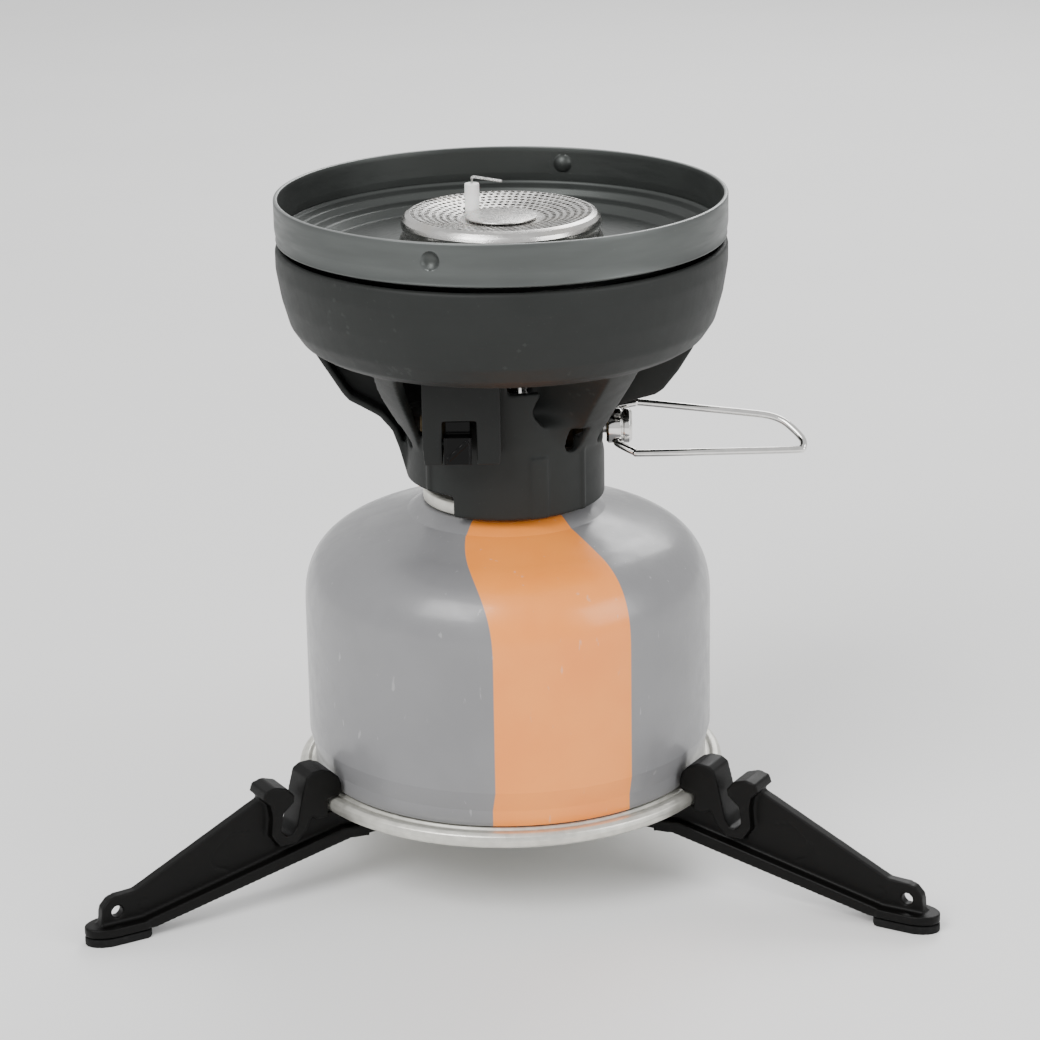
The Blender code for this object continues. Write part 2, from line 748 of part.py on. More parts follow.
def make_igniter():
    left, right = BUTTON_X
    front = COVER_FRONT
    shell = prism([(-16.2, front), (-0.7, front), (-0.7, -12.0), (-16.2, -12.0)], COVER_BOTTOM, COVER_TOP)
    cover = add_object("igniter_cover", shell, "plastic")
    inside = block((-14.8, -2.1), (front + 1.5, 0.0), (COVER_BOTTOM + 1.3, COVER_TOP + 5))
    combine(cover, "DIFFERENCE", inside)
    combine(cover, "DIFFERENCE", rod((0, 0, 80), (0, 0, 120), NECK_R + GAP + 0.1, WIDE_STEPS))
    slot = block((left - GAP, right + 1.0), (front - 2, -19.0), (COVER_BOTTOM - 2, SLOT_TOP))
    combine(cover, "DIFFERENCE", slot)
    combine(cover, "DIFFERENCE", clear_of_strut())

    button = add_object("igniter_button", block((left, right), (front - 0.8, -24.8), BUTTON_Z), "gloss_black")
    combine(button, "UNION", block((left + 0.2, right - 0.2), (-25.2, -21.0), (BUTTON_Z[0], 96.4)))
    shutter = block((left + 0.25, right - 0.25), (-25.3, -24.7), (BUTTON_Z[0] + 1.0, SHUTTER_TOP))
    combine(button, "UNION", shutter)
    x, y = SPRING_CENTRE
    wire("igniter_spring", coil(SPRING_CENTRE, 1.5, 97.0, 101.4, 4, 7), 0.25, "steel", resolution=0)
    piezo = block((left + 0.1, right - 0.1), (-24.4, -20.9), (102.0, 109.6))
    add_object("piezo_unit", piezo, "white_plastic")
    ex, ey = ELECTRODE
    route = [
        (x, y, 110.0),
        (x + 0.4, y + 2.0, 113.2),
        (x - 0.4, y + 8.0, 115.6),
        (x - 0.2, y + 18.0, 116.4),
        (-8.2, 3.0, 116.8),
        (ex, ey - 0.6, 117.6),
        (ex, ey, 119.1),
    ]
    wire("ignition_lead", smooth_route(route, 4), 0.6, "rubber", resolution=1)


def clear_of_strut():
    """Room at the cover's left rear corner for the flared strut."""
    return block((-20.0, -13.0), (-17.5, -5.0), (80.0, 120.0))


# ---------------------------------------------------------------- valve


def make_valve():
    profile = ring(1.2, 9.5, 88.1, 96.6)
    body = add_object("valve_body", turned(profile, 24), "brass")
    combine(
        body,
        "UNION",
        turned([(0, 6.0), (4.4, 6.0), (4.4, 14.0), (0, 14.0)], SMALL_STEPS, "X"),
        turned([(0, -14.2), (4.6, -14.2), (4.6, -6.0), (0, -6.0)], SMALL_STEPS, "X"),
    )
    combine(
        body,
        "DIFFERENCE",
        turned([(0, -16.0), (3.6, -16.0), (3.6, -11.0), (0, -11.0)], 20, "X"),
        turned([(0, 3.0), (1.8, 3.0), (1.8, 10.5), (3.3, 10.5), (3.3, 16.0), (0, 16.0)], 20, "X"),
    )
    disc = [(0, -14.9), (4.4, -14.9), (4.4, -14.5), (0, -14.5)]
    add_object("regulator_diaphragm", turned(disc, SMALL_STEPS, "X"), "rubber")
    lid = [(0, -17.4), (4.4, -17.4), (4.6, -17.0), (4.6, -15.2), (3.6, -15.2), (3.6, -16.6), (0, -16.6)]
    add_object("regulator_cap", turned(lid, SMALL_STEPS, "X"), "brass")
    jet = [(0, 96.9), (2.9, 96.9), (2.9, 99.3), (1.5, 99.9), (1.5, 102.0), (0.7, 103.0), (0, 103.0)]
    add_object("gas_jet", turned(jet, 6), "brass")
    connector = [
        (9.0, 78.2),
        (9.0, 87.0),
        (8.2, 87.8),
        (1.7, 87.8),
        (1.7, 86.0),
        (5.7, 86.0),
        (5.7, 78.2),
    ]
    add_object("canister_connector", turned(connector, 24), "brass")
    pin = [(0, 81.8), (1.1, 81.8), (1.3, 82.1), (1.3, 87.8), (0, 87.8)]
    add_object("opening_pin", turned(pin, 12), "brass")
    add_object("connector_seal", torus(4.2, 0.5, 85.3), "rubber")

    spindle = [(0, 3.4), (1.5, 5.4), (1.5, 25.2), (0, 25.2)]
    add_object("valve_spindle", turned_on_valve(spindle), "steel", (0, 0, VALVE_Z))
    seal = torus(2.4, 0.5, 11.4, along="X")
    add_object("spindle_seal", seal, "rubber")
    nut = turned([(1.8, 12.3), (3.0, 12.3), (3.0, 14.3), (4.4, 14.3), (4.4, 17.4), (1.8, 17.4)], 6, "X")
    add_object("gland_nut", nut, "brass")
    make_boss()
    make_handle()


def turned_on_valve(profile, steps=SMALL_STEPS):
    """A turned piece about X whose own origin lies on the valve's axis."""
    mesh = turned(profile, steps, "X")
    for vert in mesh.vertices:
        vert.co.z -= VALVE_Z * MM
    return mesh


def torus(major, minor, height, along="Z", around=6):
    profile = []
    for i in range(around):
        a = math.tau * i / around
        profile.append((major + minor * math.cos(a), height + minor * math.sin(a)))
    return turned(profile, SMALL_STEPS, along)


def make_boss():
    """The chromed boss at the spindle's end, with two crossed holes for the wire handle."""
    low, high = BOSS
    profile = [
        (1.8, low),
        (BOSS_R - 0.3, low),
        (BOSS_R, low + 0.3),
        (BOSS_R, high - 0.6),
        (BOSS_R - 0.6, high),
        (0.0, high),
        (0.0, 25.5),
        (1.8, 25.5),
    ]
    boss = add_object("handle_boss", turned_on_valve(profile), "chrome", (0, 0, VALVE_Z))
    for tilt in (45, 135):
        a = math.radians(tilt)
        reach = Vector((0, math.cos(a), math.sin(a))) * 6
        middle = Vector((HOLE_X, 0, VALVE_Z))
        combine(boss, "DIFFERENCE", rod(middle - reach, middle + reach, WIRE_R + GAP, 16))


def make_handle():
    """The wire bail. Its plane holds the valve's axis and leans 45 degrees, lower in front."""
    corners = [
        (23.05, -2.2),
        (23.05, -3.7),
        (23.4, -4.4),
        (26.6, -6.3),
        (28.2, -6.6),
        (44.0, -6.5),
        (59.6, -6.35),
        (61.0, -6.0),
        (61.4, -5.0),
        (60.9, -3.4),
        (58.6, -0.6),
        (56.8, 0.8),
        (54.6, 1.7),
        (51.3, 2.3),
        (40.0, 3.8),
        (28.4, 5.3),
        (27.0, 5.2),
        (23.5, 4.5),
        (23.05, 3.7),
        (23.05, 2.2),
    ]
    lean = Vector((0, math.sqrt(0.5), math.sqrt(0.5)))
    points = [Vector((x, 0, VALVE_Z)) + lean * s for x, s in corners]
    wire("wire_handle", points, WIRE_R, "chrome", (HOLE_X, 0, VALVE_Z))


clear_scene()
AXIS = make_axis()
LOOKS = {
    "anodised": make_material("cup_anodised", (0.15, 0.16, 0.155), 0.42, 1.0),
    "plastic": make_material("housing_plastic", (0.045, 0.048, 0.046), 0.55, 0.0),
    "gloss_black": make_material("button_plastic", (0.012, 0.012, 0.012), 0.2, 0.0),
    "stainless": make_material("head_stainless", (0.62, 0.61, 0.59), 0.25, 1.0),
    "chrome": make_material("chrome", (0.75, 0.74, 0.72), 0.12, 1.0),
    "steel": make_material("spring_steel", (0.5, 0.5, 0.5), 0.35, 1.0),
    "brass": make_material("brass", (0.7, 0.52, 0.25), 0.3, 1.0),
    "ceramic": make_material("ceramic", (0.86, 0.86, 0.84), 0.5, 0.0),
    "white_plastic": make_material("white_plastic", (0.8, 0.8, 0.78), 0.45, 0.0),
    "paint": make_material("canister_paint", (0.28, 0.28, 0.28), 0.35, 0.0),
    "tinplate": make_material("tinplate", (0.62, 0.61, 0.56), 0.35, 1.0),
    "nylon": make_material("leg_nylon", (0.012, 0.012, 0.012), 0.42, 0.0),
    "rubber": make_material("rubber", (0.015, 0.015, 0.015), 0.7, 0.0),
}
for leg_side in LEG_AZIMUTHS:
    make_leg(leg_side)
make_hub()
make_canister()
make_cup()
make_head()
make_housing()
make_igniter()
make_valve()
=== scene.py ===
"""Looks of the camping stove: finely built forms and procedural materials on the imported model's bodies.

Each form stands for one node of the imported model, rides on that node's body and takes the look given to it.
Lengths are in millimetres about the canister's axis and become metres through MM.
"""

import json
import math

import bmesh
import bpy
from mathutils import Matrix, Vector


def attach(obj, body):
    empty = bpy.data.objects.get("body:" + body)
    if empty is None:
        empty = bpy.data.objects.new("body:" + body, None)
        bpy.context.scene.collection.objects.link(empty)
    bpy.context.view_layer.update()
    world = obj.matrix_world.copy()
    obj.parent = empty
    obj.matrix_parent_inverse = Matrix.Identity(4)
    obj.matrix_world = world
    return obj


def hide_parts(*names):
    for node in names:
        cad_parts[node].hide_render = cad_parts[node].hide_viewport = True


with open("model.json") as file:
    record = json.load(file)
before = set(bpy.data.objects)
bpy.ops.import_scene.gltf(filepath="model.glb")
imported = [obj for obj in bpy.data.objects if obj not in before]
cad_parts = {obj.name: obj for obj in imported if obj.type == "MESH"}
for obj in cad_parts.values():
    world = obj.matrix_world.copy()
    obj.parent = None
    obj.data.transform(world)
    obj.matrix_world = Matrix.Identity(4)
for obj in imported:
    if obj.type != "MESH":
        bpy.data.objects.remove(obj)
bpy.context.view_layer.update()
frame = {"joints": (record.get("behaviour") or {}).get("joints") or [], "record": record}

MM = 0.001
ROUND = 128  # facets around the large forms
SMALL_ROUND = 48

RECORD = frame["record"]
JOINT_AT = {
    joint["name"]: [round(length / MM, 4) for length in joint["pos_m"]]
    for joint in frame["joints"] if joint["type"] == "hinge"
}
AXIS_Y = JOINT_AT["burner_unscrew"][1]
VALVE_Z = JOINT_AT["valve_turn"][2]
HOLE_X = JOINT_AT["handle_fold"][0]
BODY_OF = {node: body for body, nodes in RECORD["behaviour"]["bodies"].items() for node in nodes}

LEG_AZIMUTHS = {"rear": 90, "left": 210, "right": 330}
RING_BOTTOMS = {"right": 10.6, "left": 12.5, "rear": 14.4}
RING_THICK = 1.6
WEB_HALF = 1.2
LEG_HALF = 3.5
ARM_HALF = 2.4
FOOT_HALF = 3.7
RIM_Z = 19.1
RIM_R = 45.0
CAN_R = 42.4
SHOULDER_R = 15.1
SHOULDER_Z = 54.9
SHOULDER_RISE = 18.9
SHOULDER_POWER = 0.712
CUP_R = 45.9
CUP_WALL = 0.9
CUP_TOP = 142.0
CUP_FLOOR = 130.2
POST_R = 30.0
NECK_R = 20.5
NECK_INNER_R = 18.8
FLARE_R = 19.9
FLARE_SPREAD = 18.9
FLARE_Z = 88.5
FLARE_RISE = 23.6
SPIDER_Z = (98.8, 100.8)
HEAD_ROWS = 7
FIRST_ROW_R = 9.3
ROW_PITCH = 1.45
HOLE_PITCH = 1.36
HEAD_HOLE_R = 0.49
ELECTRODE_HOLE_R = 1.9
BOSS_R = 3.65
WIRE_R = 0.75
ELECTRODE = (-5.9, 7.6)
DIMPLE_AZIMUTHS = (73, 253)
DIMPLE_Z = 138.5
DIMPLE_R = 1.9
DIMPLE_DEPTH = 1.1
BUTTON_X = (-12.0, -6.5)
BUTTON_Z = (93.0, 98.6)
COVER_FRONT = -27.0
SPRING_CENTRE = (-9.25, -22.7)

CAMERA_PLACE = (0.0036, -0.6709, 0.2842)  # metres
CAMERA_YAW = 0.07
CAMERA_DOWN = 18.14
CAMERA_ROLL = -0.95
LENS_MM = 113.1
SENSOR_MM = 36.0


# ---------------------------------------------------------------- mesh tools


def polar(radius, azimuth, z=None):
    a = math.radians(azimuth)
    place = (radius * math.cos(a), radius * math.sin(a))
    return place if z is None else (*place, z)


def finish_mesh(bm, sharp=40):
    bmesh.ops.recalc_face_normals(bm, faces=bm.faces)
    mesh = bpy.data.meshes.new("form")
    bm.to_mesh(mesh)
    bm.free()
    mesh.shade_smooth()
    mesh.set_sharp_from_angle(angle=math.radians(sharp))
    return mesh


def fillet(profile, radius, steps=3):
    """Round the corners of a closed outline. Corners on the axis stay, and short sides limit the radius."""
    result = []
    count = len(profile)
    for i, corner in enumerate(profile):
        here = Vector(corner)
        before = Vector(profile[i - 1])
        after = Vector(profile[(i + 1) % count])
        back = before - here
        forward = after - here
        if here.x <= 0 or back.length < 0.02 or forward.length < 0.02:
            result.append(tuple(here))
            continue
        turn = math.pi - back.angle(forward)
        cut = min(radius * math.tan(turn / 2), back.length * 0.45, forward.length * 0.45)
        if cut < 0.01:
            result.append(tuple(here))
            continue
        start = here + back.normalized() * cut
        end = here + forward.normalized() * cut
        for j in range(steps + 1):
            t = j / steps
            result.append(tuple(start * (1 - t) ** 2 + here * 2 * t * (1 - t) + end * t**2))
    return result


def turned(profile, steps=ROUND, round_off=0.25, along="Z", azimuths=None, shift=(0.0, 0.0)):
    """Spin a closed outline of (radius, height). Along X it turns about the valve's axis."""
    profile = fillet(profile, round_off) if round_off else profile
    azimuths = azimuths or [360.0 * i / steps for i in range(steps)]
    bm = bmesh.new()
    rings = []
    for r, z in profile:
        if r <= 1e-6:
            vert = bm.verts.new((0, 0, z * MM))
            rings.append([vert] * len(azimuths))
        else:
            rings.append([bm.verts.new(Vector(polar(r, a, z)) * MM) for a in azimuths])
    for ring_a, ring_b in zip(rings, rings[1:] + rings[:1]):
        for i in range(len(azimuths)):
            j = (i + 1) % len(azimuths)
            corners = []
            for vert in (ring_a[i], ring_a[j], ring_b[j], ring_b[i]):
                if vert not in corners:
                    corners.append(vert)
            if len(corners) > 2:
                bm.faces.new(corners)
    for vert in bm.verts:
        x, y, z = vert.co
        vert.co = (z, y, -x + VALVE_Z * MM) if along == "X" else (x + shift[0] * MM, y + shift[1] * MM, z)
    return finish_mesh(bm)


def prism(outline, low, high, plane="XY", turn=0.0):
    """Extrude an outline along Z, or along Y when its points are (x, z), and turn it about the axis."""
    bm = bmesh.new()
    verts = []
    for u, v in outline:
        verts.append(bm.verts.new(Vector((u, v, low) if plane == "XY" else (u, low, v)) * MM))
    face = bm.faces.new(verts)
    grown = bmesh.ops.extrude_face_region(bm, geom=[face])["geom"]
    shift = Vector((0, 0, high - low)) if plane == "XY" else Vector((0, high - low, 0))
    moved = [item for item in grown if isinstance(item, bmesh.types.BMVert)]
    bmesh.ops.translate(bm, verts=moved, vec=shift * MM)
    bm.transform(Matrix.Rotation(math.radians(turn), 4, "Z"))
    return finish_mesh(bm)


def block(x, y, z):
    return prism([(x[0], y[0]), (x[1], y[0]), (x[1], y[1]), (x[0], y[1])], z[0], z[1])


def rod(start, end, radius, steps=24, turn=0.0):
    start = Vector(start) * MM
    end = Vector(end) * MM
    bm = bmesh.new()
    made = bmesh.ops.create_cone(
        bm, cap_ends=True, segments=steps, radius1=radius * MM, radius2=radius * MM,
        depth=(end - start).length,
    )
    spin = Vector((0, 0, 1)).rotation_difference(end - start)
    for vert in made["verts"]:
        vert.co = spin @ vert.co + (start + end) / 2
    bm.transform(Matrix.Rotation(math.radians(turn), 4, "Z"))
    return finish_mesh(bm)


def ring_sector(inner, outer, low, high, first, last, steps=32):
    spots = [first + (last - first) * i / steps for i in range(steps + 1)]
    outline = [polar(outer, a) for a in spots] + [polar(inner, a) for a in reversed(spots)]
    return prism(outline, low, high)


def ring(inner, outer, low, high):
    return [(outer, low), (outer, high), (inner, high), (inner, low)]


def torus(major, minor, height, around=16):
    return [
        (major + minor * math.cos(math.tau * i / around), height + minor * math.sin(math.tau * i / around))
        for i in range(around)
    ]


def joined(*meshes):
    bm = bmesh.new()
    for mesh in meshes:
        bm.from_mesh(mesh)
    return finish_mesh(bm)


def applied(obj):
    """The object's mesh with its modifiers applied. The object goes."""
    bpy.context.view_layer.update()
    graph = bpy.context.evaluated_depsgraph_get()
    mesh = bpy.data.meshes.new_from_object(obj.evaluated_get(graph))
    bpy.data.objects.remove(obj)
    return mesh


def worked(mesh, *steps):
    """Run the mesh through Booleans, given as ("UNION" or "DIFFERENCE", mesh)."""
    for operation, other in steps:
        base = bpy.data.objects.new("work", mesh)
        helper = bpy.data.objects.new("helper", other)
        for obj in (base, helper):
            bpy.context.scene.collection.objects.link(obj)
        boolean = base.modifiers.new("boolean", "BOOLEAN")
        boolean.operation = operation
        boolean.solver = "MANIFOLD"
        boolean.object = helper
        mesh = applied(base)
        bpy.data.objects.remove(helper)
    return mesh


def moulded(mesh, voxel, rounds=5):
    """Remesh a solid finely and relax it, which gives each edge and corner a small moulded radius."""
    base = bpy.data.objects.new("work", mesh)
    bpy.context.scene.collection.objects.link(base)
    remesh = base.modifiers.new("remesh", "REMESH")
    remesh.mode = "VOXEL"
    remesh.voxel_size = voxel * MM
    relax = base.modifiers.new("relax", "SMOOTH")
    relax.factor = 0.5
    relax.iterations = rounds
    mesh = applied(base)
    mesh.shade_smooth()
    return mesh


def place(node, mesh, look):
    """Put a form where its node is, on the node's body, with the given look, and hide the node's own part."""
    obj = bpy.data.objects.new(f"{node}_form", mesh)
    bpy.context.scene.collection.objects.link(obj)
    obj.location = (0.0, AXIS_Y * MM, 0.0)
    mesh.materials.clear()
    mesh.materials.append(look)
    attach(obj, BODY_OF[node])
    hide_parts(node)
    return obj


def smooth_route(points, per_span=8):
    """Points on a Catmull-Rom curve through the given ones."""
    places = [Vector(p) for p in points]
    ends = [places[0] * 2 - places[1], *places, places[-1] * 2 - places[-2]]
    route = []
    for a, b, c, d in zip(ends, ends[1:], ends[2:], ends[3:]):
        for i in range(per_span):
            t = i / per_span
            square = a * 2 - b * 5 + c * 4 - d
            cube = b * 3 - a - c * 3 + d
            route.append((b * 2 + (c - a) * t + square * t**2 + cube * t**3) / 2)
    return [*route, places[-1]]


def wire(points, radius, sides=4):
    """A round wire's mesh along the points."""
    curve = bpy.data.curves.new("wire", "CURVE")
    curve.dimensions = "3D"
    curve.bevel_depth = radius * MM
    curve.bevel_resolution = sides
    curve.use_fill_caps = True
    spline = curve.splines.new("POLY")
    spline.points.add(len(points) - 1)
    for point, spot in zip(spline.points, points):
        point.co = (*Vector(spot) * MM, 1.0)
    base = bpy.data.objects.new("work", curve)
    bpy.context.scene.collection.objects.link(base)
    mesh = applied(base)
    mesh.shade_smooth()
    mesh.set_sharp_from_angle(angle=math.radians(60))
    return mesh


def coil(centre, radius, low, high, turns, per_turn=24):
    count = turns * per_turn
    spots = []
    for i in range(count + 1):
        x, y = polar(radius, 360.0 * i / per_turn)
        spots.append((centre[0] + x, centre[1] + y, low + (high - low) * i / count))
    return spots


# ---------------------------------------------------------------- materials


class Look:
    """A Principled material, with short calls for the nodes that give it its detail."""

    def __init__(self, name, color, roughness, metallic=0.0, **sockets):
        self.material = bpy.data.materials.new(name)
        self.material.use_nodes = True
        self.tree = self.material.node_tree
        self.shader = self.tree.nodes["Principled BSDF"]
        self.color = color
        self.roughness = roughness
        self.set(self.shader, **{"Base Color": (*color, 1.0), "Roughness": roughness, "Metallic": metallic})
        self.set(self.shader, **sockets)
        self.paint = None
        self.height = None
        self.coordinates = self.scaled(self.node("ShaderNodeTexCoord").outputs["Object"], (1000, 1000, 1000))

    def set(self, node, **values):
        for name, value in values.items():
            node.inputs[name.replace("_", " ")].default_value = value

    def node(self, kind, **settings):
        made = self.tree.nodes.new(kind)
        for name, value in settings.items():
            setattr(made, name, value)
        return made

    def feed(self, socket, value):
        if isinstance(value, bpy.types.NodeSocket):
            self.tree.links.new(value, socket)
        else:
            socket.default_value = value

    def scaled(self, vector, factors):
        made = self.node("ShaderNodeVectorMath", operation="MULTIPLY")
        self.feed(made.inputs[0], vector)
        self.feed(made.inputs[1], factors)
        return made.outputs["Vector"]

    def math(self, operation, a, b=0.0, c=0.0):
        made = self.node("ShaderNodeMath", operation=operation)
        for socket, value in zip(made.inputs, (a, b, c)):
            self.feed(socket, value)
        return made.outputs["Value"]

    def split(self):
        made = self.node("ShaderNodeSeparateXYZ")
        self.feed(made.inputs[0], self.coordinates)
        return made.outputs

    def radius(self):
        x, y, _ = self.split()
        return self.math("SQRT", self.math("ADD", self.math("MULTIPLY", x, x), self.math("MULTIPLY", y, y)))

    def azimuth(self):
        x, y, _ = self.split()
        return self.math("MULTIPLY", self.math("ARCTAN2", y, x), 180 / math.pi)

    def round_coordinates(self, stretch=0.05):
        """Coordinates that run along the azimuth slowly, so that a noise in them looks turned or spun."""
        made = self.node("ShaderNodeCombineXYZ")
        self.feed(made.inputs[0], self.radius())
        self.feed(made.inputs[1], self.math("MULTIPLY", self.azimuth(), stretch))
        self.feed(made.inputs[2], self.split()[2])
        return made.outputs["Vector"]

    def noise(self, scale, detail=3.0, vector=None, stretch=(1, 1, 1)):
        made = self.node("ShaderNodeTexNoise")
        self.feed(made.inputs["Vector"], self.scaled(vector or self.coordinates, stretch))
        self.set(made, Scale=scale, Detail=detail)
        return made.outputs["Fac"]

    def ramp(self, value, low, high, to_low=0.0, to_high=1.0, smooth=True):
        made = self.node("ShaderNodeMapRange", interpolation_type="SMOOTHSTEP" if smooth else "LINEAR")
        self.feed(made.inputs["Value"], value)
        self.set(made, **{"From Min": low, "From Max": high, "To Min": to_low, "To Max": to_high})
        return made.outputs["Result"]

    def mix(self, factor, first, second):
        made = self.node("ShaderNodeMix", data_type="RGBA")
        self.feed(made.inputs[0], factor)
        self.feed(made.inputs[6], first if isinstance(first, bpy.types.NodeSocket) else (*first, 1.0))
        self.feed(made.inputs[7], second if isinstance(second, bpy.types.NodeSocket) else (*second, 1.0))
        return made.outputs[2]

    def tinted(self, factor):
        return tuple(min(1.0, c * factor) for c in self.color)

    def mottle(self, scale, dark, light, detail=4.0, vector=None):
        """Vary the colour between a darker and a lighter tint."""
        fog = self.ramp(self.noise(scale, detail, vector), 0.3, 0.7)
        self.paint = self.mix(fog, self.tinted(dark), self.tinted(light))
        return self

    def spots(self, scale, threshold, color):
        """Small specks of another colour, such as dust or nicks."""
        speck = self.ramp(self.noise(scale, 2.0), threshold, threshold + 0.04)
        self.paint = self.mix(speck, self.paint, color)
        return self

    def edges(self, color, low=0.53, high=0.62, strength=1.0):
        """Lighter colour where the surface is sharply convex: edge wear together with a painted highlight
        along the edges.
        """
        point = self.node("ShaderNodeNewGeometry").outputs["Pointiness"]
        wear_and_highlight_mask = self.math("MULTIPLY", self.ramp(point, low, high), self.ramp(self.noise(0.5, 4.0), 0.3, 0.6))
        self.paint = self.mix(self.math("MULTIPLY", wear_and_highlight_mask, strength), self.paint, color)
        return self

    def sheen_map(self, scale, spread, detail=3.0, vector=None):
        """Vary the roughness."""
        low = max(0.02, self.roughness - spread)
        value = self.ramp(self.noise(scale, detail, vector), 0.3, 0.7, low, self.roughness + spread)
        self.feed(self.shader.inputs["Roughness"], value)
        return self

    def bump(self, height, depth, strength=1.0):
        """Raise the surface by height times depth, in millimetres."""
        made = self.node("ShaderNodeBump")
        self.set(made, Strength=strength, Distance=depth * MM)
        self.feed(made.inputs["Height"], height)
        if self.height is not None:
            self.feed(made.inputs["Normal"], self.height)
        self.height = made.outputs["Normal"]
        return self

    def done(self):
        if self.paint is not None:
            self.feed(self.shader.inputs["Base Color"], self.paint)
        if self.height is not None:
            self.feed(self.shader.inputs["Normal"], self.height)
        return self.material


def plastic_look(name, color, roughness, grain=9.0, depth=0.02, edge=1.7, shine=0.3):
    look = Look(name, color, roughness, Specular_IOR_Level=shine)
    # The edge tint lightens sharply convex edges: edge wear together with a painted edge highlight.
    look.mottle(0.09, 0.95, 1.05).edges(look.tinted(edge), 0.52, 0.6, 0.8).spots(2.2, 0.7, look.tinted(1.5))
    look.sheen_map(0.35, 0.02)
    look.bump(look.noise(grain, 4.0), depth).bump(look.noise(0.25, 2.0), 0.006)
    return look.done()


def metal_look(name, color, roughness, spread=0.06, brushed=6.0, depth=0.01, dark=0.9, light=1.05):
    look = Look(name, color, roughness, 1.0)
    around = look.round_coordinates()
    look.mottle(0.6, dark, light, vector=around)
    look.sheen_map(1.1, spread, vector=around)
    look.bump(look.noise(brushed, 3.0, around), depth).bump(look.noise(14.0, 2.0), depth * 0.5)
    return look.done()


def rubber_look(name, color=(0.005, 0.005, 0.005)):
    look = Look(name, color, 0.75, Specular_IOR_Level=0.2)
    look.mottle(0.3, 0.8, 1.3).spots(3.0, 0.66, look.tinted(2.2))
    look.sheen_map(0.8, 0.08)
    look.bump(look.noise(5.0, 4.0), 0.05)
    return look.done()


def cup_look():
    """Dark satin anodising with a lighter top edge, and painted shade that darkens the inside."""
    look = Look("cup_anodised_fine", (0.094, 0.101, 0.098), 0.42, 0.72)
    around = look.round_coordinates(0.12)
    z = look.split()[2]
    look.mottle(0.35, 0.93, 1.06, vector=around)
    # Painted shade: the inside of the band gets a darker colour for the shade inside the cup.
    inside = look.ramp(look.radius(), CUP_R - 0.75, CUP_R - 0.4, 1.0, 0.0)
    look.paint = look.mix(inside, look.paint, (0.062, 0.067, 0.064))
    # Lighter colour along the top edge, set by height alone.
    rim = look.ramp(z, CUP_TOP - 0.2, CUP_TOP - 0.08)
    look.paint = look.mix(rim, look.paint, (0.24, 0.25, 0.245))
    scuffs = look.ramp(look.noise(1.3, 5.0, look.coordinates, (0.5, 0.5, 3.0)), 0.7, 0.76)
    look.paint = look.mix(look.math("MULTIPLY", scuffs, 0.25), look.paint, (0.2, 0.21, 0.205))
    look.sheen_map(0.8, 0.05, vector=around)
    look.bump(look.noise(7.0, 3.0, around), 0.003).bump(look.noise(11.0, 3.0), 0.006)
    return look.done()


def head_look():
    """Bright rolled stainless steel, with a trace of heat colour on the top."""
    look = Look("head_stainless_fine", (0.66, 0.65, 0.63), 0.24, 1.0)
    around = look.round_coordinates(0.08)
    look.mottle(0.7, 0.88, 1.05, vector=around)
    heat = look.ramp(look.noise(0.12, 3.0), 0.5, 0.75)
    look.paint = look.mix(look.math("MULTIPLY", heat, 0.3), look.paint, (0.62, 0.54, 0.43))
    look.sheen_map(1.2, 0.07, vector=around)
    look.bump(look.noise(5.0, 3.0, around), 0.012).bump(look.noise(8.0, 3.0), 0.012)
    return look.done()


def chrome_look():
    look = Look("chrome_fine", (0.78, 0.77, 0.75), 0.09, 1.0)
    look.mottle(0.5, 0.93, 1.04)
    scratches = look.ramp(look.noise(1.6, 5.0, look.coordinates, (0.35, 2.2, 2.2)), 0.6, 0.68)
    look.feed(look.shader.inputs["Roughness"], look.math("ADD", look.math("MULTIPLY", scratches, 0.16), 0.07))
    look.bump(look.noise(9.0, 3.0), 0.006)
    return look.done()


def tin_look():
    """Cream-silver tinplate with its soft crystal bloom."""
    look = Look("tinplate_fine", (0.71, 0.7, 0.64), 0.36, 0.75)
    look.mottle(0.35, 0.88, 1.06)
    cells = look.node("ShaderNodeTexVoronoi")
    look.feed(cells.inputs["Vector"], look.coordinates)
    look.set(cells, Scale=0.5)
    bloom = look.ramp(cells.outputs["Distance"], 0.1, 0.9, 0.0, 0.18)
    look.paint = look.mix(bloom, look.paint, (0.5, 0.49, 0.44))
    look.sheen_map(0.9, 0.08)
    look.bump(look.noise(6.0, 4.0), 0.012)
    return look.done()


def canister_look():
    """Printed grey paint with a broad orange stripe in front and a matching one behind."""
    grey = (0.198, 0.198, 0.204)
    look = Look("canister_paint_fine", grey, 0.34, 0.0, Coat_Weight=0.35, Coat_Roughness=0.16)
    r = look.radius()
    azimuth = look.azimuth()
    look.mottle(0.05, 0.95, 1.05)
    orange = look.mix(look.ramp(look.noise(0.06, 3.0), 0.3, 0.7), (0.93, 0.27, 0.035), (0.98, 0.31, 0.045))
    near_left = look.ramp(r, 21.0, CAN_R, -113.0, -94.0, smooth=False)
    near_right = look.ramp(r, 21.0, CAN_R, -50.0, -54.5, smooth=False)
    far_left = look.ramp(r, 21.0, CAN_R, 67.0, 86.0, smooth=False)
    far_right = look.ramp(r, 21.0, CAN_R, 130.0, 125.5, smooth=False)
    blur = 0.15
    for low, high in ((near_left, near_right), (far_left, far_right)):
        after = look.ramp(look.math("SUBTRACT", azimuth, low), -blur, blur)
        before = look.ramp(look.math("SUBTRACT", high, azimuth), -blur, blur)
        look.paint = look.mix(look.math("MULTIPLY", after, before), look.paint, orange)
    scuffs = look.ramp(look.noise(0.8, 6.0, look.coordinates, (1, 1, 0.25)), 0.68, 0.74)
    look.paint = look.mix(look.math("MULTIPLY", scuffs, 0.3), look.paint, (0.5, 0.5, 0.5))
    look.sheen_map(0.25, 0.06)
    look.bump(look.noise(1.1, 3.0), 0.02).bump(look.noise(9.0, 3.0), 0.006)
    return look.done()


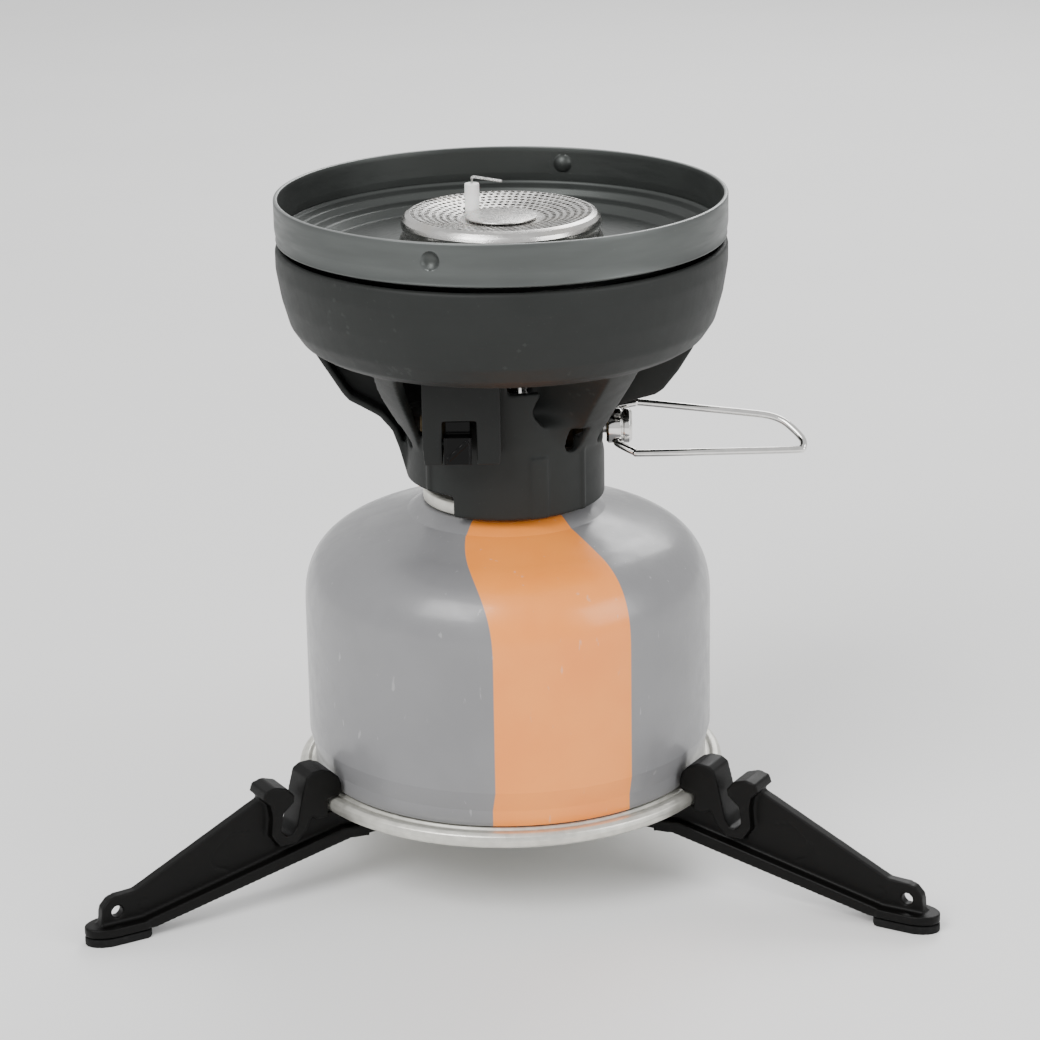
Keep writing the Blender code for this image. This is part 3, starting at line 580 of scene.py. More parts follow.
def ceramic_look():
    look = Look("ceramic_fine", (0.93, 0.93, 0.915), 0.4, 0.0, Subsurface_Weight=0.08, Subsurface_Scale=0.001)
    soot = look.ramp(look.split()[2], 140.2, 142.2, 0.0, 0.18)
    look.mottle(0.5, 0.94, 1.03)
    look.paint = look.mix(look.math("MULTIPLY", soot, look.noise(1.5, 4.0)), look.paint, (0.3, 0.27, 0.24))
    look.sheen_map(0.8, 0.08)
    look.bump(look.noise(4.0, 4.0), 0.02)
    return look.done()


LOOKS = {
    "cup": cup_look(),
    "head": head_look(),
    "chrome": chrome_look(),
    "tin": tin_look(),
    "paint": canister_look(),
    "ceramic": ceramic_look(),
    # The edge tints of the plastics paint a highlight along their convex edges, together with edge wear; the
    # cover's edge=3.6 brings out its outline.
    "plastic": plastic_look("housing_plastic_fine", (0.0165, 0.018, 0.017), 0.52, shine=0.2),
    "cover": plastic_look("cover_plastic_fine", (0.0095, 0.0104, 0.0098), 0.5, edge=3.6, shine=0.2),
    "gloss": plastic_look("button_plastic_fine", (0.0015, 0.0015, 0.0015), 0.16, 5.0, 0.008, 8.0, 0.12),
    "nylon": plastic_look("leg_nylon_fine", (0.0022, 0.0021, 0.0019), 0.4, 7.0, 0.03, 3.2, 0.14),
    "white": plastic_look("white_plastic_fine", (0.72, 0.72, 0.69), 0.42, 5.0, 0.02, 1.05),
    "steel": metal_look("steel_fine", (0.55, 0.55, 0.54), 0.3),
    "dark_steel": metal_look("dark_steel_fine", (0.07, 0.07, 0.068), 0.42),
    "brass": metal_look("brass_fine", (0.72, 0.53, 0.25), 0.27),
    "aged_brass": metal_look("aged_brass_fine", (0.085, 0.066, 0.038), 0.46, dark=0.7, light=1.2),
    "rubber": rubber_look("rubber_fine"),
}


# ---------------------------------------------------------------- stand


def foot_outline(inner, outer, half_width, corner_steps=20):
    toe = outer - half_width * 1.5
    heel = inner + half_width * 0.6
    outline = []
    for i in range(corner_steps + 1):
        a = math.radians(-90 + 180 * i / corner_steps)
        outline.append((toe + half_width * 1.5 * math.cos(a), half_width * math.sin(a)))
    for i in range(corner_steps + 1):
        a = math.radians(90 + 180 * i / corner_steps)
        outline.append((heel + half_width * 0.6 * math.cos(a), half_width * math.sin(a)))
    return outline


LEG_WEB = [
    (13.0, 10.6), (40.0, 10.8), (84.5, 2.2), (97.5, 2.2), (95.9, 3.6), (95.4, 7.4), (93.9, 9.1), (92.2, 9.6),
    (88.0, 9.8), (59.2, 23.4), (58.0, 23.6), (57.2, 16.0), (55.6, 13.6), (52.4, 14.2), (50.4, 17.0),
    (49.0, 23.0), (47.0, 25.0), (45.9, 25.0), (45.4, 17.0), (38.0, 17.0), (33.5, 12.9), (13.0, 12.9),
]
LEG_FLANGE = [
    (36.0, 10.6), (40.4, 11.0), (84.6, 1.95), (88.0, 1.95), (88.0, 3.6), (86.2, 4.0), (41.6, 13.6),
    (36.0, 13.0),
]
LEG_HOOK = [
    (45.4, 20.9), (43.0, 20.9), (42.1, 21.7), (42.0, 23.3), (42.7, 25.2), (44.3, 26.8), (46.3, 27.6),
    (48.6, 27.5), (50.0, 26.6), (51.2, 22.2), (52.5, 16.4), (53.6, 14.9), (55.1, 14.8), (56.2, 16.2),
    (55.6, 19.8), (53.1, 21.9), (52.9, 23.3), (54.4, 25.1), (57.2, 26.0), (59.4, 25.4), (60.0, 23.8),
    (58.4, 22.2), (58.0, 19.6), (58.4, 15.4), (56.6, 12.8), (52.8, 12.8), (50.4, 15.2), (49.2, 18.0),
    (48.0, 17.0), (45.4, 17.0),
]
LEG_RECESS = [(62.0, 16.6), (66.4, 17.4), (70.6, 13.9), (71.4, 12.2), (70.2, 10.6), (68.2, 9.9), (67.6, 9.2)]

def groove(points, half_width, face, depth):
    """A shallow channel along points (x, z) into one face of a leg's web."""
    pieces = []
    low, high = sorted((face, face - math.copysign(depth, face)))
    low, high = (low - 0.3, high) if face < 0 else (low, high + 0.3)
    for start, end in zip(points, points[1:]):
        along = (Vector(end) - Vector(start)).normalized() * half_width
        side = Vector((-along.y, along.x))
        a = Vector(start) - along
        b = Vector(end) + along
        pieces.append(prism([a - side, b - side, b + side, a + side], low, high, "XZ"))
    return pieces


def make_leg(side):
    bottom = RING_BOTTOMS[side]
    arm_low = min(bottom, 10.6)
    arm_high = max(bottom + RING_THICK, 12.9)
    solid = worked(
        prism(LEG_WEB, -WEB_HALF, WEB_HALF, "XZ"),
        ("UNION", prism(LEG_FLANGE, -LEG_HALF, LEG_HALF, "XZ")),
        ("UNION", prism(LEG_HOOK, -LEG_HALF, LEG_HALF, "XZ")),
        ("UNION", prism(foot_outline(84.8, 98.9, FOOT_HALF), 1.95, 3.75)),
        ("UNION", block((11.0, 37.0), (-ARM_HALF, ARM_HALF), (10.6, 12.9))),
        ("UNION", block((9.3, 13.5), (-ARM_HALF, ARM_HALF), (arm_low, arm_high))),
        ("UNION", block((8.0, 10.0), (-ARM_HALF, ARM_HALF), (bottom, bottom + RING_THICK))),
        ("UNION", turned(ring(2.7, 9.0, bottom, bottom + RING_THICK), 64, 0)),
        ("DIFFERENCE", rod((92.2, -3, 6.2), (92.2, 3, 6.2), 1.25)),
    )
    for face in (-WEB_HALF, WEB_HALF):
        for piece in groove(LEG_RECESS, 0.22, face, 0.3):
            solid = worked(solid, ("DIFFERENCE", piece))
        outer = face * 1.4
        inner = face * 0.72
        pin = turned(ring(1.05, 1.4, min(outer, inner), max(outer, inner)), 32, 0)
        pin.transform(Matrix.Translation(Vector((86.4, 0, 6.4)) * MM) @ Matrix.Rotation(math.pi / 2, 4, "X"))
        solid = worked(solid, ("DIFFERENCE", pin))
    mesh = moulded(solid, 0.28, 4)
    mesh.transform(Matrix.Rotation(math.radians(LEG_AZIMUTHS[side]), 4, "Z"))
    place(f"leg_{side}", mesh, LOOKS["nylon"])

    pad = moulded(prism(foot_outline(85.0, 98.9, FOOT_HALF), 0.0, 1.65), 0.22, 3)
    pad.transform(Matrix.Rotation(math.radians(LEG_AZIMUTHS[side]), 4, "Z"))
    place(f"foot_pad_{side}", pad, LOOKS["rubber"])


def make_hub():
    low = RING_BOTTOMS["right"]
    washer = (16.3, 16.9)
    head = 17.2
    rivet = [
        (0, low - 1.8), (3.2, low - 1.8), (4.5, low - 1.1), (4.5, low - 0.3), (2.4, low - 0.3), (2.4, head),
        (4.5, head), (4.5, head + 0.7), (3.2, head + 1.2), (0, head + 1.2),
    ]
    place("hub_rivet", turned(rivet, SMALL_ROUND), LOOKS["steel"])
    place("hub_washer", turned(ring(2.7, 5.5, *washer), SMALL_ROUND, 0.12), LOOKS["steel"])


# ---------------------------------------------------------------- canister


def shoulder(offset, steps):
    """The canister's rounded shoulder, moved inwards by the offset."""
    points = []
    for i in range(steps + 1):
        t = math.radians(65.0) * i / steps
        r = SHOULDER_R + (CAN_R - SHOULDER_R) * math.cos(t) ** SHOULDER_POWER
        z = SHOULDER_Z + SHOULDER_RISE * math.sin(t) ** SHOULDER_POWER
        lean = math.atan2(z - SHOULDER_Z, r - SHOULDER_R)
        points.append((r - offset * math.cos(lean), z - offset * math.sin(lean)))
    return points


def make_canister():
    low = RIM_Z + 1.8
    neck_in = 41.4
    wall = 0.8
    outer = [(neck_in, low), (neck_in, low + 3.4), (CAN_R, low + 7.6), *shoulder(0.0, 40)]
    outer += [(20.6, 75.4), (17.6, 77.6), (16.2, 77.6)]
    inner = [(neck_in - wall, low), (neck_in - wall, low + 3.4), (CAN_R - wall, low + 7.6)]
    inner += [*shoulder(wall, 12), (20.2, 74.6), (17.3, 76.8), (16.2, 76.8)]
    place("canister_body", turned([*outer, *reversed(inner)], 192, 0.9), LOOKS["paint"])
    base = [
        (RIM_R, RIM_Z), (RIM_R - 0.25, RIM_Z + 0.95), (RIM_R - 1.0, RIM_Z + 1.5), (RIM_R - 2.0, RIM_Z + 1.5),
        (RIM_R - 2.6, RIM_Z + 1.0), (41.6, RIM_Z + 0.9), (41.0, RIM_Z + 1.5), (40.2, RIM_Z + 1.5),
        (40.0, 23.6), (25.0, 28.2), (0.0, 30.0), (0.0, 29.1), (25.0, 27.3), (39.2, 22.9), (39.4, RIM_Z - 1.2),
        (40.4, RIM_Z - 1.8), (RIM_R - 1.2, RIM_Z - 1.8), (RIM_R - 0.3, RIM_Z - 1.1),
    ]
    place("canister_base", turned(base, 160, 0.5), LOOKS["tin"])
    cup = [
        (17.2, 77.95), (17.2, 80.4), (16.7, 80.9), (14.6, 80.9), (13.8, 73.8), (7.0, 73.8), (5.4, 76.0),
        (5.4, 84.1), (4.9, 84.6), (2.3, 84.6), (2.3, 72.4), (15.4, 72.4), (15.8, 77.95),
    ]
    place("canister_valve_cup", turned(cup, 96, 0.4), LOOKS["tin"])
    housing = [
        (7.5, 57.5), (7.5, 72.1), (6.8, 72.1), (6.8, 71.0), (3.6, 71.0), (3.6, 60.2), (1.0, 60.2),
        (1.0, 57.5),
    ]
    place("canister_valve_housing", turned(housing, SMALL_ROUND, 0.2), LOOKS["white"])
    place("canister_valve_gasket", turned(ring(2.35, 6.5, 71.3, 72.1), SMALL_ROUND, 0.1), LOOKS["rubber"])
    stem = [(0, 67.6), (3.0, 67.6), (3.0, 69.0), (2.0, 69.0), (2.0, 81.2), (1.7, 81.5), (0, 81.5)]
    place("canister_valve_stem", turned(stem, SMALL_ROUND, 0.15), LOOKS["brass"])
    place("canister_valve_spring", wire(coil((0, 0), 2.2, 60.9, 66.9, 4), 0.3), LOOKS["steel"])


# ---------------------------------------------------------------- cup and head


def dimpled(mesh):
    """Press the locking dimples inwards through both faces of the cup's band."""
    for vert in mesh.vertices:
        x, y, z = vert.co / MM
        r = math.hypot(x, y)
        if r < CUP_R - 1.2 or z < 135.6:
            continue
        azimuth = math.degrees(math.atan2(y, x)) % 360
        for centre in DIMPLE_AZIMUTHS:
            across = math.radians(azimuth - centre) * r
            far = math.hypot(across, z - DIMPLE_Z) / DIMPLE_R
            if far < 1:
                press = DIMPLE_DEPTH * (1 - far**2) ** 0.75
                vert.co = ((x - x / r * press) * MM, (y - y / r * press) * MM, z * MM)
    return mesh


def make_cup():
    levels = [136.2 + 0.2 * i for i in range(24)]
    top_side = [
        (CUP_R - CUP_WALL, 134.9), (44.4, 134.1), (42.6, 133.6), (41.6, 132.2), (39.0, 131.9),
        (37.4, CUP_FLOOR), (18.2, CUP_FLOOR),
    ]
    under_side = [
        (18.2, 129.3), (36.8, 129.3), (38.4, 131.0), (41.0, 131.3), (42.2, 132.8), (44.8, 133.2),
        (CUP_R, 133.6),
    ]
    steps = fillet([*top_side, *under_side], 0.9, 5)
    band = [(CUP_R, z) for z in levels]
    inside = [(CUP_R - CUP_WALL, z) for z in reversed(levels)]
    outline = [*band, *rounded_rim(), *inside, *steps]
    azimuths = {round(360.0 * i / 160, 3) for i in range(160)}
    for centre in DIMPLE_AZIMUTHS:
        azimuths |= {round(centre - 2.75 + 0.25 * i, 3) for i in range(23)}
    mesh = dimpled(turned(outline, round_off=0, azimuths=sorted(azimuths)))
    for azimuth in LEG_AZIMUTHS.values():
        x, y = polar(POST_R, azimuth)
        mesh = worked(mesh, ("DIFFERENCE", rod((x, y, 128), (x, y, 131.5), 1.3)))
    mesh.set_sharp_from_angle(angle=math.radians(50))
    place("burner_cup", mesh, LOOKS["cup"])
    screw = [
        (0, 122.4), (0.85, 123.4), (0.85, 130.5), (2.3, 130.5), (2.2, 131.2), (1.6, 131.8), (0, 131.8),
    ]
    for number, azimuth in enumerate(LEG_AZIMUTHS.values(), 1):
        head = turned(screw, 32, 0.15, shift=polar(POST_R, azimuth))
        x, y = polar(POST_R, azimuth)
        cross = [block((x - 1.2, x + 1.2), (y - 0.22, y + 0.22), (131.3, 133))]
        cross.append(block((x - 0.22, x + 0.22), (y - 1.2, y + 1.2), (131.3, 133)))
        head = worked(head, *[("DIFFERENCE", bar) for bar in cross])
        place(f"cup_screw_{number}", head, LOOKS["steel"])


def rounded_rim():
    """The cup's rounded top edge, from the outside to the inside."""
    points = []
    for i in range(7):
        a = math.radians(30 * i)
        points.append((CUP_R - 0.45 + 0.45 * math.cos(a), CUP_TOP - 0.3 + 0.3 * math.sin(a)))
    return points


def make_head():
    x, y = ELECTRODE
    cap = [
        (20.9, 131.6), (20.75, 132.6), (20.3, 133.5), (19.9, 134.2), (19.9, 134.8), (20.3, 135.4),
        (20.4, 136.1), (20.1, 136.9), (19.5, 137.7), (18.6, 138.1), (17.0, 137.95), (13.0, 137.3),
        (8.2, 136.6), (0, 136.6), (0, 136.05), (8.2, 136.05), (13.0, 136.75), (17.0, 137.4), (18.4, 137.5),
        (19.1, 137.2), (19.6, 136.4), (19.6, 135.8), (19.2, 135.2), (19.2, 134.0), (19.7, 133.0),
        (20.0, 132.2), (20.1, 131.6),
    ]
    lid = turned(cap, 144, 0.3)
    drills = []
    for number in range(HEAD_ROWS):
        r = FIRST_ROW_R + ROW_PITCH * number
        count = int(math.tau * r / HOLE_PITCH)
        for i in range(count):
            hx, hy = polar(r, 360.0 * (i + 0.5 * (number % 2)) / count)
            if math.hypot(hx - x, hy - y) > 2.6:
                drills.append(rod((hx, hy, 134.5), (hx, hy, 140), HEAD_HOLE_R, 8))
    passage = rod((x, y, 130), (x, y, 145), ELECTRODE_HOLE_R)
    lid = worked(lid, ("DIFFERENCE", joined(*drills)), ("DIFFERENCE", passage))
    lid.set_sharp_from_angle(angle=math.radians(40))
    place("burner_cap", lid, LOOKS["head"])
    place("centre_disc", turned([(0, 136.9), (7.4, 136.9), (7.3, 137.2), (0, 137.3)], 96, 0.1), LOOKS["head"])
    bowl = [
        (4.9, 124.0), (12.0, 125.2), (17.6, 130.5), (19.0, 130.8), (19.0, 135.2), (18.2, 135.2),
        (18.2, 131.9), (11.6, 126.6), (3.4, 125.6), (3.4, 124.0),
    ]
    pan = worked(turned(bowl, 96, 0.3), ("DIFFERENCE", rod((x, y, 120), (x, y, 140), ELECTRODE_HOLE_R)))
    place("burner_bowl", pan, LOOKS["head"])
    ceramic = [(0, 119.5), (1.5, 119.5), (1.5, 142.2), (0, 142.2)]
    place("electrode_ceramic", turned(ceramic, SMALL_ROUND, 0.25, shift=ELECTRODE), LOOKS["ceramic"])
    spark = [(0, 0, 142.3), (0, 0, 143.2), (0.3, -0.1, 143.5), (1.0, -0.5, 143.54), (6.2, -3.4, 143.25)]
    route = smooth_route([(x + p, y + q, z) for p, q, z in spark], 6)
    place("electrode_wire", wire(route, 0.28), LOOKS["steel"])
    tube = [
        (8.2, 101.1), (8.2, 111.6), (4.4, 115.0), (4.4, 123.7), (3.4, 123.7), (3.4, 114.6), (7.0, 111.2),
        (7.0, 101.1),
    ]
    mixing = turned(tube, 96, 0.3)
    for azimuth in (60, 150, 240, 330):
        mixing = worked(mixing, ("DIFFERENCE", rod(polar(4, azimuth, 104.2), polar(11, azimuth, 104.2), 2.2)))
    mixing.set_sharp_from_angle(angle=math.radians(40))
    place("mixing_tube", mixing, LOOKS["chrome"])


# ---------------------------------------------------------------- housing


SCOOP = [
    (0.0, 19.9), (0.36, 20.2), (0.5, 17.6), (0.62, 16.0), (0.76, 17.0), (0.87, 22.0), (0.95, 31.0),
    (1.0, 38.8),
]


def scooped(s):
    """Radius of the hollow between the front wall and the right-hand strut, at a share of its height."""
    for (a, low), (b, high) in zip(SCOOP, SCOOP[1:]):
        if s <= b:
            t = (s - a) / (b - a)
            return low + (high - low) * t * t * (3 - 2 * t)
    return SCOOP[-1][1]


def flare(foot_range, crown_range, wall=2.4, across=24, up=24, scoop=False):
    """A strut that flares from the neck to the bowl. A scoop hollows the part of it at the lower azimuths."""
    bm = bmesh.new()
    grids = []
    for depth in (0.0, wall):
        rows = []
        for j in range(up + 1):
            s = j / up
            height = FLARE_Z + FLARE_RISE * s
            surface = FLARE_R + FLARE_SPREAD * s**1.5
            reach = surface - depth * (0.35 + 0.65 * s)
            first = foot_range[0] + (crown_range[0] - foot_range[0]) * s
            last = foot_range[1] + (crown_range[1] - foot_range[1]) * s
            row = []
            for i in range(across + 1):
                t = i / across
                sunk = max(0.0, 1 - (t / 0.52) ** 3) * (surface - scooped(s)) if scoop else 0.0
                spot = polar(reach - sunk, first + (last - first) * t, height + depth * 0.75 * s)
                row.append(bm.verts.new(Vector(spot) * MM))
            rows.append(row)
        grids.append(rows)
    for rows in grids:
        for low, high in zip(rows, rows[1:]):
            for i in range(across):
                bm.faces.new((low[i], low[i + 1], high[i + 1], high[i]))
    outer, inner = grids
    for j in range(up):
        for i in (0, across):
            bm.faces.new((outer[j][i], outer[j + 1][i], inner[j + 1][i], inner[j][i]))
    for j in (0, up):
        for i in range(across):
            bm.faces.new((outer[j][i], outer[j][i + 1], inner[j][i + 1], inner[j][i]))
    return finish_mesh(bm)


def right_fin():
    """Side view of the radial fin beside the boss, which leaves room for the wire handle to turn."""
    lower = [
        (19.7, 90.0), (20.7, 91.0), (21.0, 95.0), (22.6, 97.0), (24.2, 98.7), (28.7, 100.4), (31.9, 101.4),
        (33.5, 102.6), (36.5, 106.5), (39.6, 111.6),
    ]
    return [*lower, (39.6, 112.4), (25.0, 112.4), (22.0, 101.0), (19.7, 97.0)]


def left_duct():
    """Side views of the duct on the left: its lower wall, and the plate that closes it at the rear."""
    edge = [
        (19.7, 84.0), (20.6, 84.0), (21.9, 89.0), (23.3, 93.0), (25.8, 96.0), (28.7, 97.8), (31.9, 99.6),
        (33.3, 101.3), (36.5, 106.5), (39.6, 111.6), (39.6, 112.4),
    ]
    inside = [
        (38.2, 112.4), (35.4, 107.1), (32.3, 102.1), (31.1, 100.7), (28.1, 99.0), (25.0, 97.1), (22.1, 93.6),
        (20.6, 89.3), (19.7, 86.0),
    ]
    middle = [
        (19.7, 85.0), (21.2, 89.1), (22.7, 93.3), (25.4, 96.6), (28.4, 98.4), (31.5, 100.1), (32.8, 101.7),
        (35.9, 106.8), (38.8, 112.2),
    ]
    return [*edge, *inside], [*middle, (25.0, 112.2), (22.0, 99.0), (19.7, 94.0)]


def wall_ends():
    """Heights up the front wall, with the azimuth where it ends beside the scoop."""
    for i in range(19):
        t = i / 18
        yield 96.5 + 8.1 * t, 291.0 - 5.0 * math.sin(math.pi * t) + 6.0 * (1 - t) ** 3


def slot_outline(half_width, low, height):
    outline = [(half_width, low + height), (-half_width, low + height)]
    for i in range(13):
        a = math.pi + math.pi * i / 12
        outline.append((half_width * math.cos(a), low + half_width + half_width * math.sin(a)))
    return outline


def make_housing():
    outer = [
        (CUP_R, 132.3), (45.9, 128.0), (44.9, 122.0), (43.4, 116.6), (41.2, 113.3), (38.4, 111.6),
        (26.0, 110.8),
    ]
    inner = [(26.0, 112.6), (37.6, 113.2), (41.8, 117.6), (43.6, 125.0), (44.2, 132.3)]
    neck = NECK_R - 0.05
    wall, plate = left_duct()
    steps = [
        turned(ring(NECK_INNER_R, NECK_R, 78.7, 94.5), 160, 0),
        ring_sector(NECK_INNER_R, neck, 90.0, 95.5, 238, 306),
        ring_sector(NECK_INNER_R, neck, 95.0, 97.0, 238, 300),
        *[ring_sector(NECK_INNER_R, neck, z - 0.5, z + 0.5, 238, end) for z, end in wall_ends()],
        flare((187, 209), (229, 237)),
        flare((284, 344), (291, 314), across=48, up=48, scoop=True),
        flare((26, 50), (26, 50)),
        flare((70, 172), (70, 172), across=72),
        prism(wall, -5.0, 1.4, "XZ", 184),
        prism(plate, -4.7, -3.6, "XZ", 184),
        prism(right_fin(), -1.2, 1.2, "XZ", 346),
        ring_sector(NECK_INNER_R, neck, 104.0, 111.8, 262, 272),
        ring_sector(19.6, NECK_R + 0.55, 78.8, 91.5, 284.5, 294.5),
        ring_sector(19.6, NECK_R + 0.5, 78.8, 93.0, 318.8, 321.2),
        ring_sector(19.6, NECK_R + 0.45, 83.2, 92.0, 219.5, 223.0),
        make_spider(),
    ]
    post = [(0, 111.8), (2.8, 111.8), (2.8, 129.0), (1.15, 129.0), (1.15, 120.5), (0, 120.5)]
    for azimuth in LEG_AZIMUTHS.values():
        steps.append(turned(post, 32, 0, shift=polar(POST_R, azimuth)))
    solid = turned(fillet([*outer, *inner], 2.0, 5), 160, 0)
    solid = worked(solid, *[("UNION", step) for step in steps])
    cuts = [ring_sector(15, 24, 70, 83.1, 58, 238.5, 64), rod((14, 0, VALVE_Z), (30, 0, VALVE_Z), 4.6, 48)]
    for azimuth in (311.5, 338.0, 199.0, 60.0):
        low = 91.6 if azimuth > 300 else 90.6
        cuts.append(prism(slot_outline(1.8, low, 5.6), 12, 30, "XZ", azimuth - 90))
    cuts.append(turned(ring(45.75, 47.0, 127.3, 127.6), 160, 0))
    solid = worked(solid, *[("DIFFERENCE", cut) for cut in cuts])
    place("burner_housing", moulded(solid, 0.3, 12), LOOKS["plastic"])


def make_spider():
    """The three arms inside the neck that carry the valve body."""
    pieces = turned(ring(6.5, 10.5, *SPIDER_Z), 64, 0)
    for azimuth in (82, 211, 315):
        arm = prism([(9.0, -2.0), (25.4, -2.0), (25.4, 2.0), (9.0, 2.0)], *SPIDER_Z, turn=azimuth)
        pieces = worked(pieces, ("UNION", arm))
    return pieces


# ---------------------------------------------------------------- igniter


def make_igniter():
    left, right = BUTTON_X
    front = COVER_FRONT
    cover = [(-15.9, 92.7), (-1.0, 92.7), (-0.7, 96.0), (-0.7, 110.2), (-16.2, 110.2), (-16.2, 96.0)]
    solid = worked(
        prism(cover, front, -12.0, "XZ"),
        ("DIFFERENCE", block((-14.8, -2.1), (front + 1.5, 0.0), (94.0, 115.2))),
        ("DIFFERENCE", rod((0, 0, 80), (0, 0, 120), NECK_R + 0.4, 128)),
        ("DIFFERENCE", block((left - 0.3, right + 1.0), (front - 2, -19.0), (90.7, 101.7))),
        ("DIFFERENCE", block((-20.0, -13.0), (-17.5, -5.0), (80.0, 120.0))),
    )
    place("igniter_cover", moulded(solid, 0.2, 9), LOOKS["cover"])

    ridge = [(-11.4, 94.3), (-10.9, 93.8), (-7.1, 97.3), (-7.6, 97.8)]
    button = worked(
        block((left, right), (front - 0.55, -24.8), BUTTON_Z),
        ("UNION", block((left + 0.2, right - 0.2), (-25.2, -21.0), (BUTTON_Z[0], 96.4))),
        ("UNION", block((left, left + 0.5), (front - 0.8, -25.0), BUTTON_Z)),
        ("UNION", block((right - 0.5, right), (front - 0.8, -25.0), BUTTON_Z)),
        ("UNION", prism(ridge, front - 0.72, -25.0, "XZ")),
        ("UNION", block((left + 0.25, right - 0.25), (-25.3, -24.7), (94.0, 101.3))),
    )
    place("igniter_button", moulded(button, 0.11, 3), LOOKS["gloss"])
    x, y = SPRING_CENTRE
    place("igniter_spring", wire(coil(SPRING_CENTRE, 1.5, 97.0, 101.4, 4), 0.25), LOOKS["dark_steel"])
    piezo = moulded(block((left + 0.1, right - 0.1), (-24.4, -20.9), (102.0, 109.6)), 0.2, 3)
    place("piezo_unit", piezo, LOOKS["gloss"])
    ex, ey = ELECTRODE
    route = [
        (x, y, 110.0), (x + 0.4, y + 2.0, 113.2), (x - 0.4, y + 8.0, 115.6), (x - 0.2, y + 18.0, 116.4),
        (-8.2, 3.0, 116.8), (ex, ey - 0.6, 117.6), (ex, ey, 119.1),
    ]
    place("ignition_lead", wire(smooth_route(route), 0.6), LOOKS["rubber"])


# ---------------------------------------------------------------- valve


def make_valve():
    body = worked(
        turned(ring(1.2, 9.5, 88.1, 96.6), 96, 0.35),
        ("UNION", turned([(0, 6.0), (4.4, 6.0), (4.4, 14.0), (0, 14.0)], SMALL_ROUND, 0, "X")),
        ("UNION", turned([(0, -14.2), (4.6, -14.2), (4.6, -6.0), (0, -6.0)], SMALL_ROUND, 0, "X")),
        ("DIFFERENCE", turned([(0, -16.0), (3.6, -16.0), (3.6, -11.0), (0, -11.0)], SMALL_ROUND, 0, "X")),
        ("DIFFERENCE", turned([(0, 3), (1.8, 3), (1.8, 10.5), (3.3, 10.5), (3.3, 16), (0, 16)], 40, 0, "X")),
    )
    body.set_sharp_from_angle(angle=math.radians(35))
    place("valve_body", body, LOOKS["aged_brass"])
    disc = [(0, -14.9), (4.4, -14.9), (4.4, -14.5), (0, -14.5)]
    place("regulator_diaphragm", turned(disc, SMALL_ROUND, 0.1, "X"), LOOKS["rubber"])
    lid = [(0, -17.4), (4.4, -17.4), (4.6, -17.0), (4.6, -15.2), (3.6, -15.2), (3.6, -16.6), (0, -16.6)]
    place("regulator_cap", turned(lid, SMALL_ROUND, 0.15, "X"), LOOKS["aged_brass"])
    jet = [(0, 96.9), (2.9, 96.9), (2.9, 99.3), (1.5, 99.9), (1.5, 102.0), (0.7, 103.0), (0, 103.0)]
    place("gas_jet", turned(jet, 6, 0), LOOKS["brass"])
    connector = [(9.0, 78.2), (9.0, 87.8), (1.7, 87.8), (1.7, 86.0), (5.7, 86.0), (5.7, 78.2)]
    place("canister_connector", turned(connector, 96, 0.6), LOOKS["brass"])
    pin = [(0, 81.8), (1.1, 81.8), (1.3, 82.1), (1.3, 87.8), (0, 87.8)]
    place("opening_pin", turned(pin, 32, 0.1), LOOKS["brass"])
    place("connector_seal", turned(torus(4.2, 0.5, 85.3), SMALL_ROUND, 0), LOOKS["rubber"])
    spindle = [(0, 3.4), (1.5, 5.4), (1.5, 25.2), (0, 25.2)]
    place("valve_spindle", turned(spindle, SMALL_ROUND, 0.1, "X"), LOOKS["steel"])
    place("spindle_seal", turned(torus(2.4, 0.5, 11.4), SMALL_ROUND, 0, "X"), LOOKS["rubber"])
    nut = [(1.8, 12.3), (3.0, 12.3), (3.0, 14.3), (4.4, 14.3), (4.4, 17.4), (1.8, 17.4)]
    place("gland_nut", turned(nut, 6, 0, "X"), LOOKS["aged_brass"])
    make_boss()
    make_handle()


def make_boss():
    low, high = 20.9, 26.2
    profile = [
        (1.8, low), (BOSS_R - 0.45, low), (BOSS_R, low + 0.45), (BOSS_R, 23.9), (BOSS_R - 0.3, 24.1),
        (BOSS_R - 0.3, 24.35), (BOSS_R, 24.55), (BOSS_R, high - 0.6), (BOSS_R - 0.6, high), (0, high),
        (0, 25.5), (1.8, 25.5),
    ]
    boss = turned(profile, 96, 0.2, "X")
    for tilt in (45, 135):
        reach = Vector((0, math.cos(math.radians(tilt)), math.sin(math.radians(tilt)))) * 6
        middle = Vector((HOLE_X, 0, VALVE_Z))
        boss = worked(boss, ("DIFFERENCE", rod(middle - reach, middle + reach, WIRE_R + 0.25, 32)))
    boss.set_sharp_from_angle(angle=math.radians(35))
    place("handle_boss", boss, LOOKS["chrome"])


def make_handle():
    corners = [
        (23.05, -2.2), (23.05, -3.7), (23.4, -4.4), (26.6, -6.3), (28.2, -6.6), (44.0, -6.5), (59.6, -6.35),
        (61.0, -6.0), (61.4, -5.0), (60.9, -3.4), (58.6, -0.6), (56.8, 0.8), (54.6, 1.7), (51.3, 2.3),
        (40.0, 3.8), (28.4, 5.3), (27.0, 5.2), (23.5, 4.5), (23.05, 3.7), (23.05, 2.2),
    ]
    lean = Vector((0, math.sqrt(0.5), math.sqrt(0.5)))
    route = smooth_route([Vector((x, 0, VALVE_Z)) + lean * s for x, s in corners], 6)
    place("wire_handle", wire(route, WIRE_R, 6), LOOKS["chrome"])


